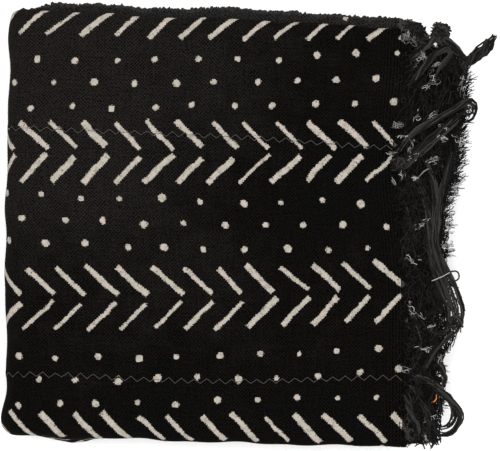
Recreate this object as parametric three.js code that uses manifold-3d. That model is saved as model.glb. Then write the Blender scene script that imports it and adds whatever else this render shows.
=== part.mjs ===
// A bogolan mud cloth, folded and lying flat: seven hand-woven cotton strips sewn edge to edge. The
// cloth is folded end to end, then in four across the strips, then in three along them. The warp ends
// make a fringe of loose locks at both ends, which lie together at the right.

import * as THREE from "three";
import Module from "manifold-3d";

const manifold = await Module();
manifold.setup();

// Driving dimensions, in millimetres and degrees. x runs along the strips towards the fringe,
// y across the strips, z up from the table.

const STRIP_WIDTHS = [138, 136, 137, 136.3, 141.2, 145, 142];
const SEAM_GAP = 0.32; // between neighbouring strips
const FRINGE_GAP = 0.45; // between a strip and its fringe, along the strip
const CLOTH = 1.1; // thickness of one layer
const PITCH = 1.6; // from one layer of the pile to the next

const FACE_SPAN = 231.6; // between the centres of the two folds across the strips
const SELVEDGE_REACH = 9.5; // how far the inner selvedge passes the centre of the upper fold
const UPPER_END = 115; // x of the fringed end on top
const LEFT_FOLD = -101; // centres of the folds along the strips
const RIGHT_FOLD = 110;
const END_FOLD = -108; // the fold end to end, at the foot of the pile

// Where each flat lie is divided, as shares of its length, and the facets around each fold. The under
// end sticks out past the upper one, by an amount at each of the shares across, from low to high y.
const ACROSS_STEPS = { flat: [0, 0.09, 0.32, 0.5, 0.68, 0.91], bend: 4 };
const UNDER_REACHES = [16, 16, 16, 22.5, 30.5, 30, 11];
const ALONG_STEPS = { flat: [0, 0.25, 0.5, 0.75], bend: 6 };
const HAIRPIN_STEPS = 3;

// How the doubled cloth lies across the strips. The level is in layers above the middle of the run,
// the bulge is how far the fold at the end of the lie puffs out past a round one.
const ACROSS_LIES = [
  { level: -1, end: -FACE_SPAN / 2, bulge: 1.0 },
  { level: 1, end: FACE_SPAN / 2, bulge: 1.5 },
  { level: 3, end: -FACE_SPAN / 2, bulge: 1.5 },
  { level: -3, end: FACE_SPAN / 2, bulge: 0 },
];

// How the folded run lies along the strips, from the fringed end on top to the foot of the pile.
const ALONG_LIES = [
  { level: 8, end: LEFT_FOLD, bulge: 1.5 },
  { level: 0, end: RIGHT_FOLD, bulge: 1.5 },
  { level: -8, end: END_FOLD, bulge: 0 },
];

const LAYERS = 24;
const PILE_MIDDLE = (LAYERS / 2) * PITCH - (PITCH - CLOTH) / 2;

// How the pile has settled.
const SKEW = 2.1; // the folds across the strips run down to the right
const WEDGE = 0.025; // the pile is this much higher at its left fold and lower at its fringe
const LEFT_WAVE = { size: 1.2, length: 250, start: 40 };
const DRAWN_END = { size: 6, y: 40, reach: 44, from: 40, to: 115 };

// Places where the folds across the strips bulge (+) or are drawn in (-), at the top and foot.
const BULGES = [
  { side: -1, x: -76, reach: 24, top: -0.5, foot: 7.0 },
  { side: -1, x: 30, reach: 50, top: 1.2, foot: -1.0 },
  { side: 1, x: 0, reach: 300, top: 2.6, foot: 0.5 },
  { side: 1, x: -95, reach: 35, top: 1.5, foot: 1.0 },
  { side: 1, x: -32, reach: 18, top: -0.6, foot: 0.5 },
  { side: 1, x: 100, reach: 40, top: -1.0, foot: -1.5 },
];

// Places where the cloth has shifted up (+) or down (-) between the folds.
const SHIFTS = [
  { x: 105, y: -82, reachX: 62, reachY: 38, size: 6.0 },
  { x: 5, y: -85, reachX: 50, reachY: 38, size: -1.0 },
  { x: 105, y: 54, reachX: 60, reachY: 34, size: -2.7 },
];

// The fringe.
const BACKING = 3; // width of the strip of cloth that the locks are fused into
const LOCK_STEP = 9; // length of one straight piece of a lock
const ROOT_DEPTH = 0.9; // depth of a lock inside its backing
const SAG_FROM = 146; // the locks hang down past this x
const SAG = 7; // how far they hang 30 mm past it

// The locks that lie on top. Each leaves the end of the cloth at y, heading `lean` degrees from
// straight out, and turns by `curl` and then by `hook` over its length.
const TOP_LOCKS = [
  { y: 110, lean: 22, curl: 10, hook: 0, length: 26, width: 5, depth: 2.6, lift: 2.0 },
  { y: 102, lean: -10, curl: -24, hook: 95, length: 60, width: 4, depth: 2.0, lift: 1.0 },
  { y: 88, lean: 22, curl: -40, hook: 0, length: 30, width: 5, depth: 2.4, lift: 1.5 },
  { y: 70, lean: 6, curl: 30, hook: 0, length: 30, width: 5, depth: 2.0, lift: 0.4 },
  { y: 42, lean: 36, curl: 12, hook: -36, length: 50, width: 8, depth: 2.8, lift: 2.5 },
  { y: 30, lean: -24, curl: -122, hook: 64, length: 98, width: 8, depth: 2.6, lift: 0.6 },
  { y: 13, lean: -35, curl: -45, hook: 0, length: 34, width: 6, depth: 2.2, lift: 0.4 },
  { y: -12, lean: -35, curl: -45, hook: 0, length: 34, width: 5.5, depth: 2.2, lift: 0.4 },
  { y: -36, lean: -30, curl: -30, hook: 0, length: 28, width: 5.5, depth: 2.2, lift: 0.4 },
  { y: -53, lean: -4, curl: -50, hook: 0, length: 26, width: 5, depth: 2.2, lift: 1.0 },
  { y: -66, lean: 0, curl: -50, hook: 0, length: 30, width: 5, depth: 2.4, lift: 1.0 },
  { y: -76, lean: -4, curl: -40, hook: 0, length: 20, width: 4.5, depth: 2.2, lift: 0.6 },
  { y: -86, lean: -8, curl: 0, hook: -205, length: 62, width: 5, depth: 2.6, lift: 1.2 },
  { y: -101, lean: -32, curl: 0, hook: 0, length: 15, width: 4.5, depth: 2.2, lift: 0.4 },
];

// The other lies of the fringe. `lie` is the row of the lies across the strips, `sway` the lean in
// degrees by which neighbouring locks differ.
const UPPER_ROWS = [
  { lie: 1, locks: 10, length: 20, lean: -14, sway: 8, width: 4 },
  { lie: 0, locks: 10, length: 19, lean: -10, sway: 8, width: 4 },
  { lie: 3, locks: 12, length: 21, lean: -12, sway: 8, width: 4 },
];
const UNDER_ROWS = [
  { lie: 2, locks: 26, length: 9, lean: 6, sway: 12, width: 2.4 },
  { lie: 1, locks: 12, length: 10, lean: -6, sway: 12, width: 2.6 },
  { lie: 0, locks: 12, length: 10, lean: 4, sway: 12, width: 2.6 },
  { lie: 3, locks: 14, length: 12, lean: -8, sway: 14, width: 2.8 },
];
const ROW_MARGIN = 8; // from the folds to the outermost locks

const radians = THREE.MathUtils.degToRad;
const smooth = THREE.MathUtils.smoothstep;
const bump = (t) => Math.exp(-t * t);

// A back-and-forth path of flat lies joined by folds. It maps a length along the path and an offset
// from it to a place and a height.
function foldedPath(start, lies, steps) {
  const spans = [];
  let from = start;
  let total = 0;
  lies.forEach((lie, row) => {
    const begin = from;
    const way = Math.sign(lie.end - begin);
    const side = row % 2 ? -1 : 1;
    const level = lie.level * PITCH;
    const length = Math.abs(lie.end - begin);
    spans.push({
      at: total,
      length,
      shares: steps.flat,
      point: (s, offset) => [begin + way * s, level + side * offset],
    });
    total += length;
    from = lie.end;
    const next = lies[row + 1];
    if (!next) return;
    const radius = (Math.abs(next.level - lie.level) * PITCH) / 2;
    const above = Math.sign(lie.level - next.level);
    const middle = ((lie.level + next.level) * PITCH) / 2;
    const arc = Math.PI * (radius + lie.bulge / 2);
    spans.push({
      at: total,
      length: arc,
      shares: Array.from({ length: steps.bend }, (_, k) => k / steps.bend),
      point: (s, offset) => {
        const turn = (Math.PI * s) / arc;
        const r = radius + side * above * offset;
        const out = (r + lie.bulge) * Math.sin(turn);
        return [lie.end + way * out, middle + above * r * Math.cos(turn)];
      },
    });
    total += arc;
  });
  const spanAt = (s) => spans.findLast((span) => s >= span.at) ?? spans[0];
  return {
    length: total,
    at: (s, offset) => {
      const span = spanAt(s);
      return span.point(s - span.at, offset);
    },
    stations: () => [
      ...spans.flatMap((span) => span.shares.map((share) => span.at + span.length * share)),
      total,
    ],
  };
}

const across = foldedPath(FACE_SPAN / 2, ACROSS_LIES, ACROSS_STEPS);
const along = foldedPath(UPPER_END, ALONG_LIES, ALONG_STEPS);

// Settles a point of the ideal pile on the table.
function settle(x, y, z) {
  const height = z / (LAYERS * PITCH);
  const onTop = z > PILE_MIDDLE + (LAYERS / 6) * PITCH ? 1 : 0;
  const atFold = 1 - smooth(x, -110, 60);
  const wave = Math.sin((2 * Math.PI * (y - LEFT_WAVE.start)) / LEFT_WAVE.length);
  const drawn = bump((y - DRAWN_END.y) / DRAWN_END.reach) * smooth(x, DRAWN_END.from, DRAWN_END.to);
  const px = x + LEFT_WAVE.size * wave * atFold - DRAWN_END.size * drawn * onTop;
  let py = y - Math.tan(radians(SKEW)) * px;
  for (const bulge of BULGES) {
    const share = Math.max(0, (bulge.side * y) / (FACE_SPAN / 2)) ** 2;
    const size = bulge.foot + (bulge.top - bulge.foot) * height;
    py += bulge.side * size * share * bump((x - bulge.x) / bulge.reach);
  }
  for (const shift of SHIFTS) {
    py += shift.size * bump((x - shift.x) / shift.reachX) * bump((y - shift.y) / shift.reachY);
  }
  const pz = z * (1 - (WEDGE * x) / UPPER_END);
  return [px, py, pz];
}

// How far the under end sticks out past the upper one.
function underReach(y) {
  const shares = [...ACROSS_STEPS.flat, 1];
  const share = THREE.MathUtils.clamp(y / FACE_SPAN + 0.5, 0, 1);
  const k = Math.max(1, shares.findIndex((end) => end >= share));
  const part = (share - shares[k - 1]) / (shares[k] - shares[k - 1]);
  return THREE.MathUtils.lerp(UNDER_REACHES[k - 1], UNDER_REACHES[k], part);
}

// A point of the cloth. A course is a line across the strips: `at` is its length along the doubled
// cloth, `turn` is 0 in the upper half, pi in the under half and between them in the end fold. The
// courses of the under end are measured from its slanting edge.
function clothPoint(course, v, lift) {
  const reach = PITCH / 2 + lift;
  const [y, level] = across.at(v, reach * Math.cos(course.turn));
  const start = course.underEnd ? -underReach(y) : 0;
  const [x, z] = along.at(start + course.at + reach * Math.sin(course.turn), level);
  return settle(x, y, z + PILE_MIDDLE);
}

function geometryOf(points, index) {
  const geometry = new THREE.BufferGeometry();
  geometry.setAttribute("position", new THREE.Float32BufferAttribute(points, 3));
  geometry.setIndex(index);
  return geometry;
}

// The closed sheet between the given courses and stations across the strips.
function sheetGeometry(courses, stations) {
  const points = [];
  const index = [];
  for (const course of courses) {
    for (const v of stations) {
      points.push(...clothPoint(course, v, -CLOTH / 2), ...clothPoint(course, v, CLOTH / 2));
    }
  }
  const corner = (i, j, face) => (i * stations.length + j) * 2 + face;
  const quad = (a, b, c, d) => index.push(a, b, c, a, c, d);
  const m = courses.length - 1;
  const n = stations.length - 1;
  for (let i = 0; i < m; i++) {
    for (let j = 0; j < n; j++) {
      quad(corner(i, j, 1), corner(i + 1, j, 1), corner(i + 1, j + 1, 1), corner(i, j + 1, 1));
      quad(corner(i, j, 0), corner(i, j + 1, 0), corner(i + 1, j + 1, 0), corner(i + 1, j, 0));
    }
    quad(corner(i, 0, 0), corner(i + 1, 0, 0), corner(i + 1, 0, 1), corner(i, 0, 1));
    quad(corner(i, n, 1), corner(i + 1, n, 1), corner(i + 1, n, 0), corner(i, n, 0));
  }
  for (let j = 0; j < n; j++) {
    quad(corner(0, j, 1), corner(0, j + 1, 1), corner(0, j + 1, 0), corner(0, j, 0));
    quad(corner(m, j, 0), corner(m, j + 1, 0), corner(m, j + 1, 1), corner(m, j, 1));
  }
  return geometryOf(points, index);
}

// A lock of the fringe: a flat four-sided strand through the given rings.
function lockGeometry(rings) {
  const points = [];
  const index = [];
  for (const { x, y, z, heading, width, depth } of rings) {
    const sideX = (-Math.sin(heading) * width) / 2;
    const sideY = (Math.cos(heading) * width) / 2;
    points.push(...settle(x + sideX, y + sideY, z), ...settle(x, y, z + depth / 2));
    points.push(...settle(x - sideX, y - sideY, z), ...settle(x, y, z - depth / 2));
  }
  const last = 4 * (rings.length - 1);
  for (let base = 0; base < last; base += 4) {
    for (let k = 0; k < 4; k++) {
      const a = base + k;
      const b = base + ((k + 1) % 4);
      index.push(a, b, b + 4, a, b + 4, a + 4);
    }
  }
  index.push(0, 2, 1, 0, 3, 2);
  index.push(last, last + 1, last + 2, last, last + 2, last + 3);
  return geometryOf(points, index);
}

// The rings of a lock that leaves its backing at x, y, z.
function lockRings(x, y, z, lock) {
  const steps = Math.max(1, Math.round(lock.length / LOCK_STEP));
  const rings = [];
  let px = x;
  let py = y;
  for (let k = 0; k <= steps; k++) {
    const s = k / steps;
    const heading = radians(lock.lean + lock.curl * s + lock.hook * s * s);
    if (k > 0) {
      px += (Math.cos(heading) * lock.length) / steps;
      py += (Math.sin(heading) * lock.length) / steps;
    }
    const depth = k === 0 ? ROOT_DEPTH : lock.depth * (1 - 0.4 * s);
    const rise = (depth - ROOT_DEPTH) / 2 + lock.lift * Math.sin(Math.PI * s ** 0.8);
    const sag = SAG * (Math.max(0, px - SAG_FROM) / 30) ** 2;
    const width = lock.width * (0.55 + s - 1.05 * s * s);
    rings.push({ x: px, y: py, z: z + rise - sag, heading, width, depth });
  }
  return rings;
}

// The height of the ideal cloth at its fringed end: half is 1 in the upper half, -1 in the under half.
function endHeight(lie, half) {
  const side = lie % 2 ? -1 : 1;
  return PILE_MIDDLE + (ALONG_LIES[0].level + ACROSS_LIES[lie].level + (side * half) / 2) * PITCH;
}

// A row of plain locks, spread evenly and leaning a little unevenly. `rootAt` gives x over y.
function rowLocks(row, rootAt, z) {
  const span = FACE_SPAN - 2 * ROW_MARGIN;
  return Array.from({ length: row.locks }, (_, k) => {
    const y = ((k + 0.5) / row.locks - 0.5) * span;
    const lean = row.lean + row.sway * Math.sin(1.7 * k + row.lie);
    const length = row.length * (1 + 0.12 * Math.sin(2.9 * k));
    const lock = { lean, curl: 0, hook: 0, length, width: row.width, depth: ROOT_DEPTH, lift: 0 };
    return lockGeometry(lockRings(rootAt(y), y, z, lock));
  });
}

function solidOf(geometry) {
  const mesh = new manifold.Mesh({
    numProp: 3,
    vertProperties: new Float32Array(geometry.attributes.position.array),
    triVerts: new Uint32Array(geometry.index.array),
  });
  mesh.merge();
  return new manifold.Manifold(mesh);
}

function joined(geometries) {
  const mesh = manifold.Manifold.union(geometries.map(solidOf)).getMesh();
  return geometryOf(Array.from(mesh.vertProperties), Array.from(mesh.triVerts));
}

// The strips and where each begins and ends across the cloth.
const strips = [];
let sewn = -SELVEDGE_REACH;
for (const width of STRIP_WIDTHS) {
  strips.push({ from: sewn, to: sewn + width });
  sewn += width + SEAM_GAP;
}

function stationsBetween(from, to) {
  const inner = across.stations().filter((v) => v > from + 1 && v < to - 1);
  return [from, ...inner, to];
}

const halfway = along.stations();
const hairpin = Array.from({ length: HAIRPIN_STEPS - 1 }, (_, k) => ({
  at: along.length,
  turn: (Math.PI * (k + 1)) / HAIRPIN_STEPS,
}));
const courses = [
  ...halfway.map((at) => ({ at, turn: 0 })),
  ...hairpin,
  ...halfway.toReversed().map((at) => ({ at, turn: Math.PI })),
  { at: 0, turn: Math.PI, underEnd: true },
];

const edgeStations = [...new Set(strips.flatMap(({ from, to }) => stationsBetween(from, to)))];

function backingGeometry(underEnd) {
  const turn = underEnd ? Math.PI : 0;
  const near = { at: -FRINGE_GAP, turn, underEnd };
  const far = { at: -FRINGE_GAP - BACKING, turn, underEnd };
  return sheetGeometry(underEnd ? [near, far] : [far, near], edgeStations);
}

const rootX = UPPER_END + FRINGE_GAP + BACKING / 2;
const upperLocks = [
  ...TOP_LOCKS.map((lock) => lockGeometry(lockRings(rootX, lock.y, endHeight(2, 1), lock))),
  ...UPPER_ROWS.flatMap((row) => rowLocks(row, () => rootX, endHeight(row.lie, 1))),
];
const underLocks = UNDER_ROWS.flatMap((row) =>
  rowLocks(row, (y) => rootX + underReach(y), endHeight(row.lie, -1)),
);

const dyed = new THREE.MeshStandardMaterial({ color: 0x1a1715, roughness: 0.95, metalness: 0 });
const yarn = new THREE.MeshStandardMaterial({ color: 0x141212, roughness: 0.95, metalness: 0 });

const cloth = new THREE.Group();
cloth.name = "mud_cloth";

function addPiece(name, geometry, material) {
  geometry.computeVertexNormals();
  const piece = new THREE.Mesh(geometry, material);
  piece.name = name;
  cloth.add(piece);
}

strips.forEach(({ from, to }, k) => {
  addPiece(`strip_${k + 1}`, sheetGeometry(courses, stationsBetween(from, to)), dyed);
});
addPiece("fringe_upper", joined([backingGeometry(false), ...upperLocks]), yarn);
addPiece("fringe_under", joined([backingGeometry(true), ...underLocks]), yarn);

// The origin is at the middle of the pile's foot.
const box = new THREE.Box3().setFromObject(cloth);
const shift = box.getCenter(new THREE.Vector3()).negate().setZ(-box.min.z);
cloth.children.forEach((piece) => piece.geometry.translate(shift.x, shift.y, shift.z));

export default cloth;
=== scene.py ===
from math import pi, radians, tan

import bpy
import numpy as np
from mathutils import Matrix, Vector


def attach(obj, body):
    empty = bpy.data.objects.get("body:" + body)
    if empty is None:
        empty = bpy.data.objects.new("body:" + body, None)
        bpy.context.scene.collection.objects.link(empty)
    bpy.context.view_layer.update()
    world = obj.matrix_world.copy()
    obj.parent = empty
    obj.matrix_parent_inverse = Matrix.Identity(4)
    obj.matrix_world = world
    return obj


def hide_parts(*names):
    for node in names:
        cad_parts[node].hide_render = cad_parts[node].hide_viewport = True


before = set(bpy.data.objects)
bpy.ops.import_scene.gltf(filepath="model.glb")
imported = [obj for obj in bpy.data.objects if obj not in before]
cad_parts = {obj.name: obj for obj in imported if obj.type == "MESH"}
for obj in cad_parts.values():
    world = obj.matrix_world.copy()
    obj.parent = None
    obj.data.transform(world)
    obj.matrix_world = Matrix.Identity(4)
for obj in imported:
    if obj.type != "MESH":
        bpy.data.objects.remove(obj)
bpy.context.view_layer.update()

# A folded bogolan mud cloth: seven hand-woven strips, painted with chevrons and dots, sewn with
# zigzag seams and fringed at both ends. Lengths are in metres, in the frame of the solids.

MM = 0.001

# Sizes of the cloth and its pile, as in the solids.
STRIP_WIDTHS = [w * MM for w in (138, 136, 137, 136.3, 141.2, 145, 142)]
SEAM_GAP = 0.32 * MM
FRINGE_GAP = 0.45 * MM
CLOTH = 1.1 * MM
PITCH = 1.6 * MM
FACE_SPAN = 231.6 * MM
SELVEDGE_REACH = 9.5 * MM
UPPER_END = 115 * MM
UNDER_SHARES = (0, 0.09, 0.32, 0.5, 0.68, 0.91, 1)
UNDER_REACHES = [r * MM for r in (16, 16, 16, 22.5, 30.5, 30, 11)]
LEFT_FOLD = -101 * MM
RIGHT_FOLD = 110 * MM
END_FOLD = -108 * MM
LAYERS = 24
PILE_HEIGHT = LAYERS * PITCH
PILE_MIDDLE = LAYERS / 2 * PITCH - (PITCH - CLOTH) / 2
FRAME_SHIFT = np.array((-27.0465, -3.6055, 0.0)) * MM

# The lies across and along the strips: level in layers, where the lie ends, bulge of its fold.
ACROSS_LIES = (
    (-1, -FACE_SPAN / 2, 1.0 * MM),
    (1, FACE_SPAN / 2, 1.5 * MM),
    (3, -FACE_SPAN / 2, 1.5 * MM),
    (-3, FACE_SPAN / 2, 0.0),
)
ALONG_LIES = ((8, LEFT_FOLD, 1.5 * MM), (0, RIGHT_FOLD, 1.5 * MM), (-8, END_FOLD, 0.0))

# How the pile has settled.
SKEW = 2.1
WEDGE = 0.025
LEFT_WAVE = dict(size=1.2 * MM, length=250 * MM, start=40 * MM, full=-110 * MM, end=60 * MM)
DRAWN_END = dict(size=6 * MM, y=40 * MM, reach=44 * MM, start=40 * MM, full=115 * MM)
BULGES = (
    dict(side=-1, x=-80 * MM, reach=15.5 * MM, top=-0.5 * MM, foot=7.5 * MM),
    dict(side=-1, x=80 * MM, reach=34 * MM, top=1.4 * MM, foot=-1.0 * MM),
    dict(side=1, x=0.0, reach=300 * MM, top=2.6 * MM, foot=0.5 * MM),
    dict(side=1, x=-95 * MM, reach=35 * MM, top=1.5 * MM, foot=1.0 * MM),
    dict(side=1, x=-32 * MM, reach=18 * MM, top=-0.6 * MM, foot=0.5 * MM),
    dict(side=1, x=100 * MM, reach=40 * MM, top=-1.0 * MM, foot=-1.5 * MM),
)
SHIFTS = (
    dict(x=105 * MM, y=-82 * MM, reach_x=62 * MM, reach_y=38 * MM, size=6.0 * MM),
    dict(x=5 * MM, y=-85 * MM, reach_x=50 * MM, reach_y=38 * MM, size=-1.0 * MM),
    dict(x=105 * MM, y=54 * MM, reach_x=60 * MM, reach_y=34 * MM, size=-2.7 * MM),
)

# Small unevenness that only the looks have: slow ripples of the pile's height, and short ripples
# that push its folds in and out.
HEIGHT_RIPPLES = (
    dict(size=0.010, x=27.0, y=11.0, start=0.4),
    dict(size=0.007, x=-19.0, y=37.0, start=1.9),
    dict(size=0.005, x=61.0, y=-43.0, start=0.7),
    dict(size=0.004, x=83.0, y=71.0, start=2.6),
)
FOLD_RIPPLES = (
    dict(size=0.45 * MM, x=105.0, y=131.0, z=90.0, start=0.3),
    dict(size=0.30 * MM, x=223.0, y=197.0, z=-150.0, start=1.2),
)
FOLD_ZONE = dict(x=-90 * MM, y=95 * MM, reach=20 * MM)
CORNER = dict(
    upper=1.7 * MM, lower=0.5 * MM, start=100 * MM, full=124 * MM, left=-118 * MM, right=-70 * MM
)

# The lower left corner flares out to the left and downwards, more at the foot of the pile than on top.
FLARE = dict(y=-113 * MM, reach=12 * MM, left=-114 * MM, right=-84 * MM)
FLARE_OUT = dict(foot=7.0 * MM, top=3.85 * MM)
FLARE_DOWN = dict(foot=2.85 * MM, top=0.75 * MM)

# The loose selvedges, past the upper fold, are drawn in at places.
SELVEDGE_ZONE = (119 * MM, 125 * MM)
SELVEDGE_DIPS = (
    dict(x=-105 * MM, reach=7 * MM, size=5.0 * MM),
    dict(x=-95 * MM, reach=10 * MM, size=3.0 * MM),
    dict(x=-77 * MM, reach=7 * MM, size=1.5 * MM),
    dict(x=-60 * MM, reach=8 * MM, size=1.6 * MM),
    dict(x=-37 * MM, reach=8 * MM, size=2.2 * MM),
    dict(x=-8 * MM, reach=7 * MM, size=1.6 * MM),
    dict(x=66 * MM, reach=9 * MM, size=1.2 * MM),
    dict(x=125 * MM, reach=8 * MM, size=5.5 * MM),
)
SEAM_RIDGE = dict(size=0.22 * MM, reach=2.2 * MM)

# How finely the sheets follow the folds.
SEEN_STEP = 2.4 * MM
HIDDEN_STEP = 9 * MM
ACROSS_STEPS = (6 * MM, 8 * MM, 2.5 * MM, 6 * MM)
HEM_STEPS = (0.0, 0.7 * MM, 1.5 * MM, 2.6 * MM, 4.0 * MM)
HEM = 5 * MM
END_FOLD_STEPS = 7
FOLD_STEPS = dict(upper=16, under=12, across=10)
MARGIN_STEPS = dict(cloth=12, seam=11)
CREASE_ANGLE = 55

# The painted pattern, from the fold on top: bands of chevrons with rows of dots between them.
BAND_PITCH = 83.6 * MM
BAND_START = 45.2 * MM
BAND_SLIDES = {1: -3.1 * MM, 0: 1.1 * MM, -2: 7.8 * MM}
CHEVRON_PITCH = 18.5 * MM
CHEVRON_TIP = -48.0 * MM
STROKE_SLANT = 1.03
STROKE_START = 1.8 * MM
STROKE_REACH = 16.4 * MM
STROKE_WIDTH = 2.8 * MM
DOT_PITCH = 23.3 * MM
DOT_ROW = 13.7 * MM
DOT_RADIUS = 1.85 * MM
DOT_START = -90.2 * MM
DOT_SLIDE = 0.224

# How much the strokes and the dots differ from each other, and how ragged the paint is.
STROKE_UNEVEN = dict(slide=2.2 * MM, lean=0.22, creep=1.6 * MM, reach=2.0 * MM, width=0.6)
STROKE_SHORT = 2.4 * MM
STROKE_CAP = 0.6
STROKE_ROUND = 0.7 * MM
DOT_UNEVEN = dict(slide=3.0 * MM, rise=2.2 * MM, radius=0.4)
HAND = dict(grain=70.0, wander=2.5 * MM, stepped=0.55)
PAINT_EDGE = dict(grains=(900.0, 240.0), size=1.5 * MM, outer=0.18 * MM, inner=-0.28 * MM)
PAINT_FLAKES = dict(grain=620.0, low=0.60, high=0.72, share=0.75)
BARE_SELVEDGE = dict(y=(574 * MM, 578 * MM), x=(72 * MM, 62 * MM))

# The weave, on the flat chart. Its tone has the tops of the yarn crossings lighter, a painted highlight,
# and beside the fringe ribs that are only lighter and darker stripes of colour, painted light and shade.
YARN_PITCH = 1.0 * MM
YARN_WANDER = dict(grain=120.0, size=0.9 * MM)
SLUB_GRAIN = (60.0, 1250.0)
FIBRE_GRAIN = 950.0
# crossing makes the tops of the yarn crossings lighter: a painted highlight.
WEAVE_TONE_AND_HIGHLIGHT = dict(slub=0.2, fibres=0.66, crossing=0.13)
WEAVE_HEIGHT = dict(slub=0.7, crossing=0.5)
# Ribs beside the fringe are only lighter and darker stripes in the colour, without relief: painted light
# and shade.
RIB_SHADING = dict(pitch=1.9 * MM, start=UPPER_END - 14 * MM, full=UPPER_END - 5 * MM, size=0.09)

# The marks were painted by eye. From the top fold down, where each band or group of dots begins, and
# in millimetres how far it is shifted up, and how much it climbs and bows up over the run.
EYE_RUN = 100 * MM
EYE_LIMIT = 1.25
BAND_LINES = (
    dict(top=None, shift=-1.0, climb=2.0, bow=2.7),
    dict(top=87.0 * MM, shift=-0.6, climb=4.1, bow=0.8),
    dict(top=3.4 * MM, shift=-1.1, climb=5.4, bow=1.9),
    dict(top=-80.2 * MM, shift=-3.6, climb=2.8, bow=1.5),
)
DOT_LINES = (
    dict(top=None, shift=-2.3, climb=5.5, bow=1.5),
    dict(top=45.2 * MM, shift=-0.7, climb=1.4, bow=2.0),
    dict(top=-38.4 * MM, shift=-6.4, climb=6.2, bow=1.5),
)

# The zigzag seams.
STITCH_HALF = 3.65 * MM
STITCH_SWING = 1.35 * MM
THREAD_RADIUS = 0.17 * MM
SEAM_STEPS = 320
LOWEST_THREAD = 0.3 * MM

# The lumpy turns of the weft at the selvedges.
WEFT_TURNS = dict(Step=1.7 * MM, Size=1.35 * MM)
TURN_AWAY = 0.2 * MM
TURN_STRAY = 0.7 * MM
LOWEST_TURN = 2.8 * MM

# The fringe. Hanks of loose yarn lie over it, on routes in plan. Most routes are given on the photograph,
# in its pixels; the others are in millimetres, before the frame is centred. The pale tufts, of undyed
# cotton but for one painted highlight, have their pixel, reach in pixels and number of curls. The lumps
# of tangled yarn have x, y, reach, number of curls and height in millimetres. The loose yarn is thick out
# to an edge, given as y and reach in millimetres.
PIXEL = 0.579
PHOTO_PLACE = dict(px=402, x=115, py=229.5)
BACKING = 3 * MM
ROOT_X = UPPER_END + FRINGE_GAP + BACKING / 2
SAG_FROM = 146 * MM
SAG = 7 * MM
SAG_RUN = 30 * MM
FRINGE_ENDS = (-FACE_SPAN / 2 - 5 * MM, FACE_SPAN / 2 - 4 * MM)


def on_photo(px, py):
    """The place in plan, to a tenth of a millimetre, of a pixel of the photograph."""
    x = PHOTO_PLACE["x"] + (px - PHOTO_PLACE["px"]) * PIXEL
    y = (PHOTO_PLACE["py"] - py) * PIXEL
    return round(x, 1), round(y, 1)


def hank(width, lift, strands, *path):
    return dict(width=width, lift=lift, strands=strands, path=path)


def picked_hank(width, lift, strands, *pixels):
    return hank(width, lift, strands, *(on_photo(*place) for place in pixels))


HANKS = (
    picked_hank(
        5, 2.0, 20,
        (404, 60), (413, 54), (421, 49), (432, 39), (441, 36), (449, 42), (458, 52), (466, 62),
        (465, 70),
    ),
    picked_hank(
        4.5, 2.6, 18,
        (408, 86), (419, 75), (428, 62), (439, 51), (448, 48), (452, 54), (445, 63), (439, 70),
        (433, 79),
    ),
    picked_hank(
        3.5, 1.2, 12,
        (450, 44), (459, 54), (465, 69), (464, 85), (461, 97),
    ),
    picked_hank(
        6.5, 1.5, 22,
        (456, 60), (467, 61), (478, 56), (488, 46), (498, 33),
    ),
    picked_hank(
        5.5, 1.0, 16,
        (460, 66), (468, 62), (477, 53), (484, 44), (489, 33),
    ),
    hank(
        4, 3.2, 18,
        (111, 42), (118, 52), (128.3, 60), (138.2, 66), (147.4, 70.8), (153.2, 75), (157.3, 73.2),
        (157.8, 68.6), (155, 63.4), (150.9, 64),
    ),
    hank(
        3.5, 2.4, 16,
        (110.4, 35.6), (119.6, 43.2), (130.1, 51.8), (139.9, 59.5), (148.6, 66.5), (153.8, 70.9),
    ),
    hank(
        3, 1.6, 14,
        (108.1, 36.8), (116.2, 36.6), (125, 43.4), (134.5, 51.4), (142.8, 58.4), (149, 64),
    ),
    picked_hank(
        4.5, 1.4, 26,
        (453, 150), (446, 178), (440, 198), (437, 221), (436, 244), (443, 264), (452, 281), (459, 299),
        (463, 313), (459, 328),
    ),
    picked_hank(
        4.5, 1.8, 26,
        (424, 158), (434, 184), (436, 221), (434, 244), (438, 264), (447, 285), (454, 303), (456, 318),
        (450, 328),
    ),
    picked_hank(
        4.5, 1.2, 24,
        (414, 170), (425, 198), (430, 225), (431, 248), (434, 268), (441, 290), (447, 310), (447, 325),
        (440, 331),
    ),
    picked_hank(
        3.5, 1.6, 10,
        (462, 318), (456, 330), (446, 341), (435, 353), (425, 367), (418, 378),
    ),
    picked_hank(
        3, 1.0, 7,
        (455, 322), (447, 330), (438, 333), (428, 330), (418, 333), (408, 330),
    ),
    picked_hank(
        4, 2.0, 18,
        (408, 374), (425, 379), (442, 391), (457, 407), (460, 418), (455, 430), (447, 435), (438, 434),
        (431, 428),
    ),
    picked_hank(
        3.5, 1.4, 16,
        (408, 378), (423, 381), (436, 386), (449, 399), (454, 411), (452, 421), (446, 427), (438, 428),
    ),
    picked_hank(
        4, 1.0, 11,
        (430, 352), (439, 362), (443, 372), (444, 381), (440, 391), (433, 398),
    ),
    hank(
        4, 0.8, 14,
        (118.5, -89.5), (121.6, -95), (124.4, -106.8), (126.2, -115.5), (129, -127.2),
    ),
    hank(
        4, 0.8, 14,
        (128.9, -98.7), (131.4, -109.1), (133.8, -118.6), (131.8, -127.2),
    ),
    picked_hank(
        2.5, 0.6, 6,
        (404, 196), (408, 216), (412, 240), (415, 262), (414, 284),
    ),
    picked_hank(
        2.5, 0.6, 6,
        (404, 300), (414, 318), (420, 338), (418, 358), (410, 370),
    ),
    hank(
        5, 1.6, 14,
        (116.5, -93), (119.5, -102), (122.5, -110), (123.6, -117), (122.6, -127),
    ),
    hank(
        4.5, 2.0, 12,
        (121, -91), (126.5, -98.5), (130, -107), (130.4, -115), (127.4, -126.6),
    ),
)
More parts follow.
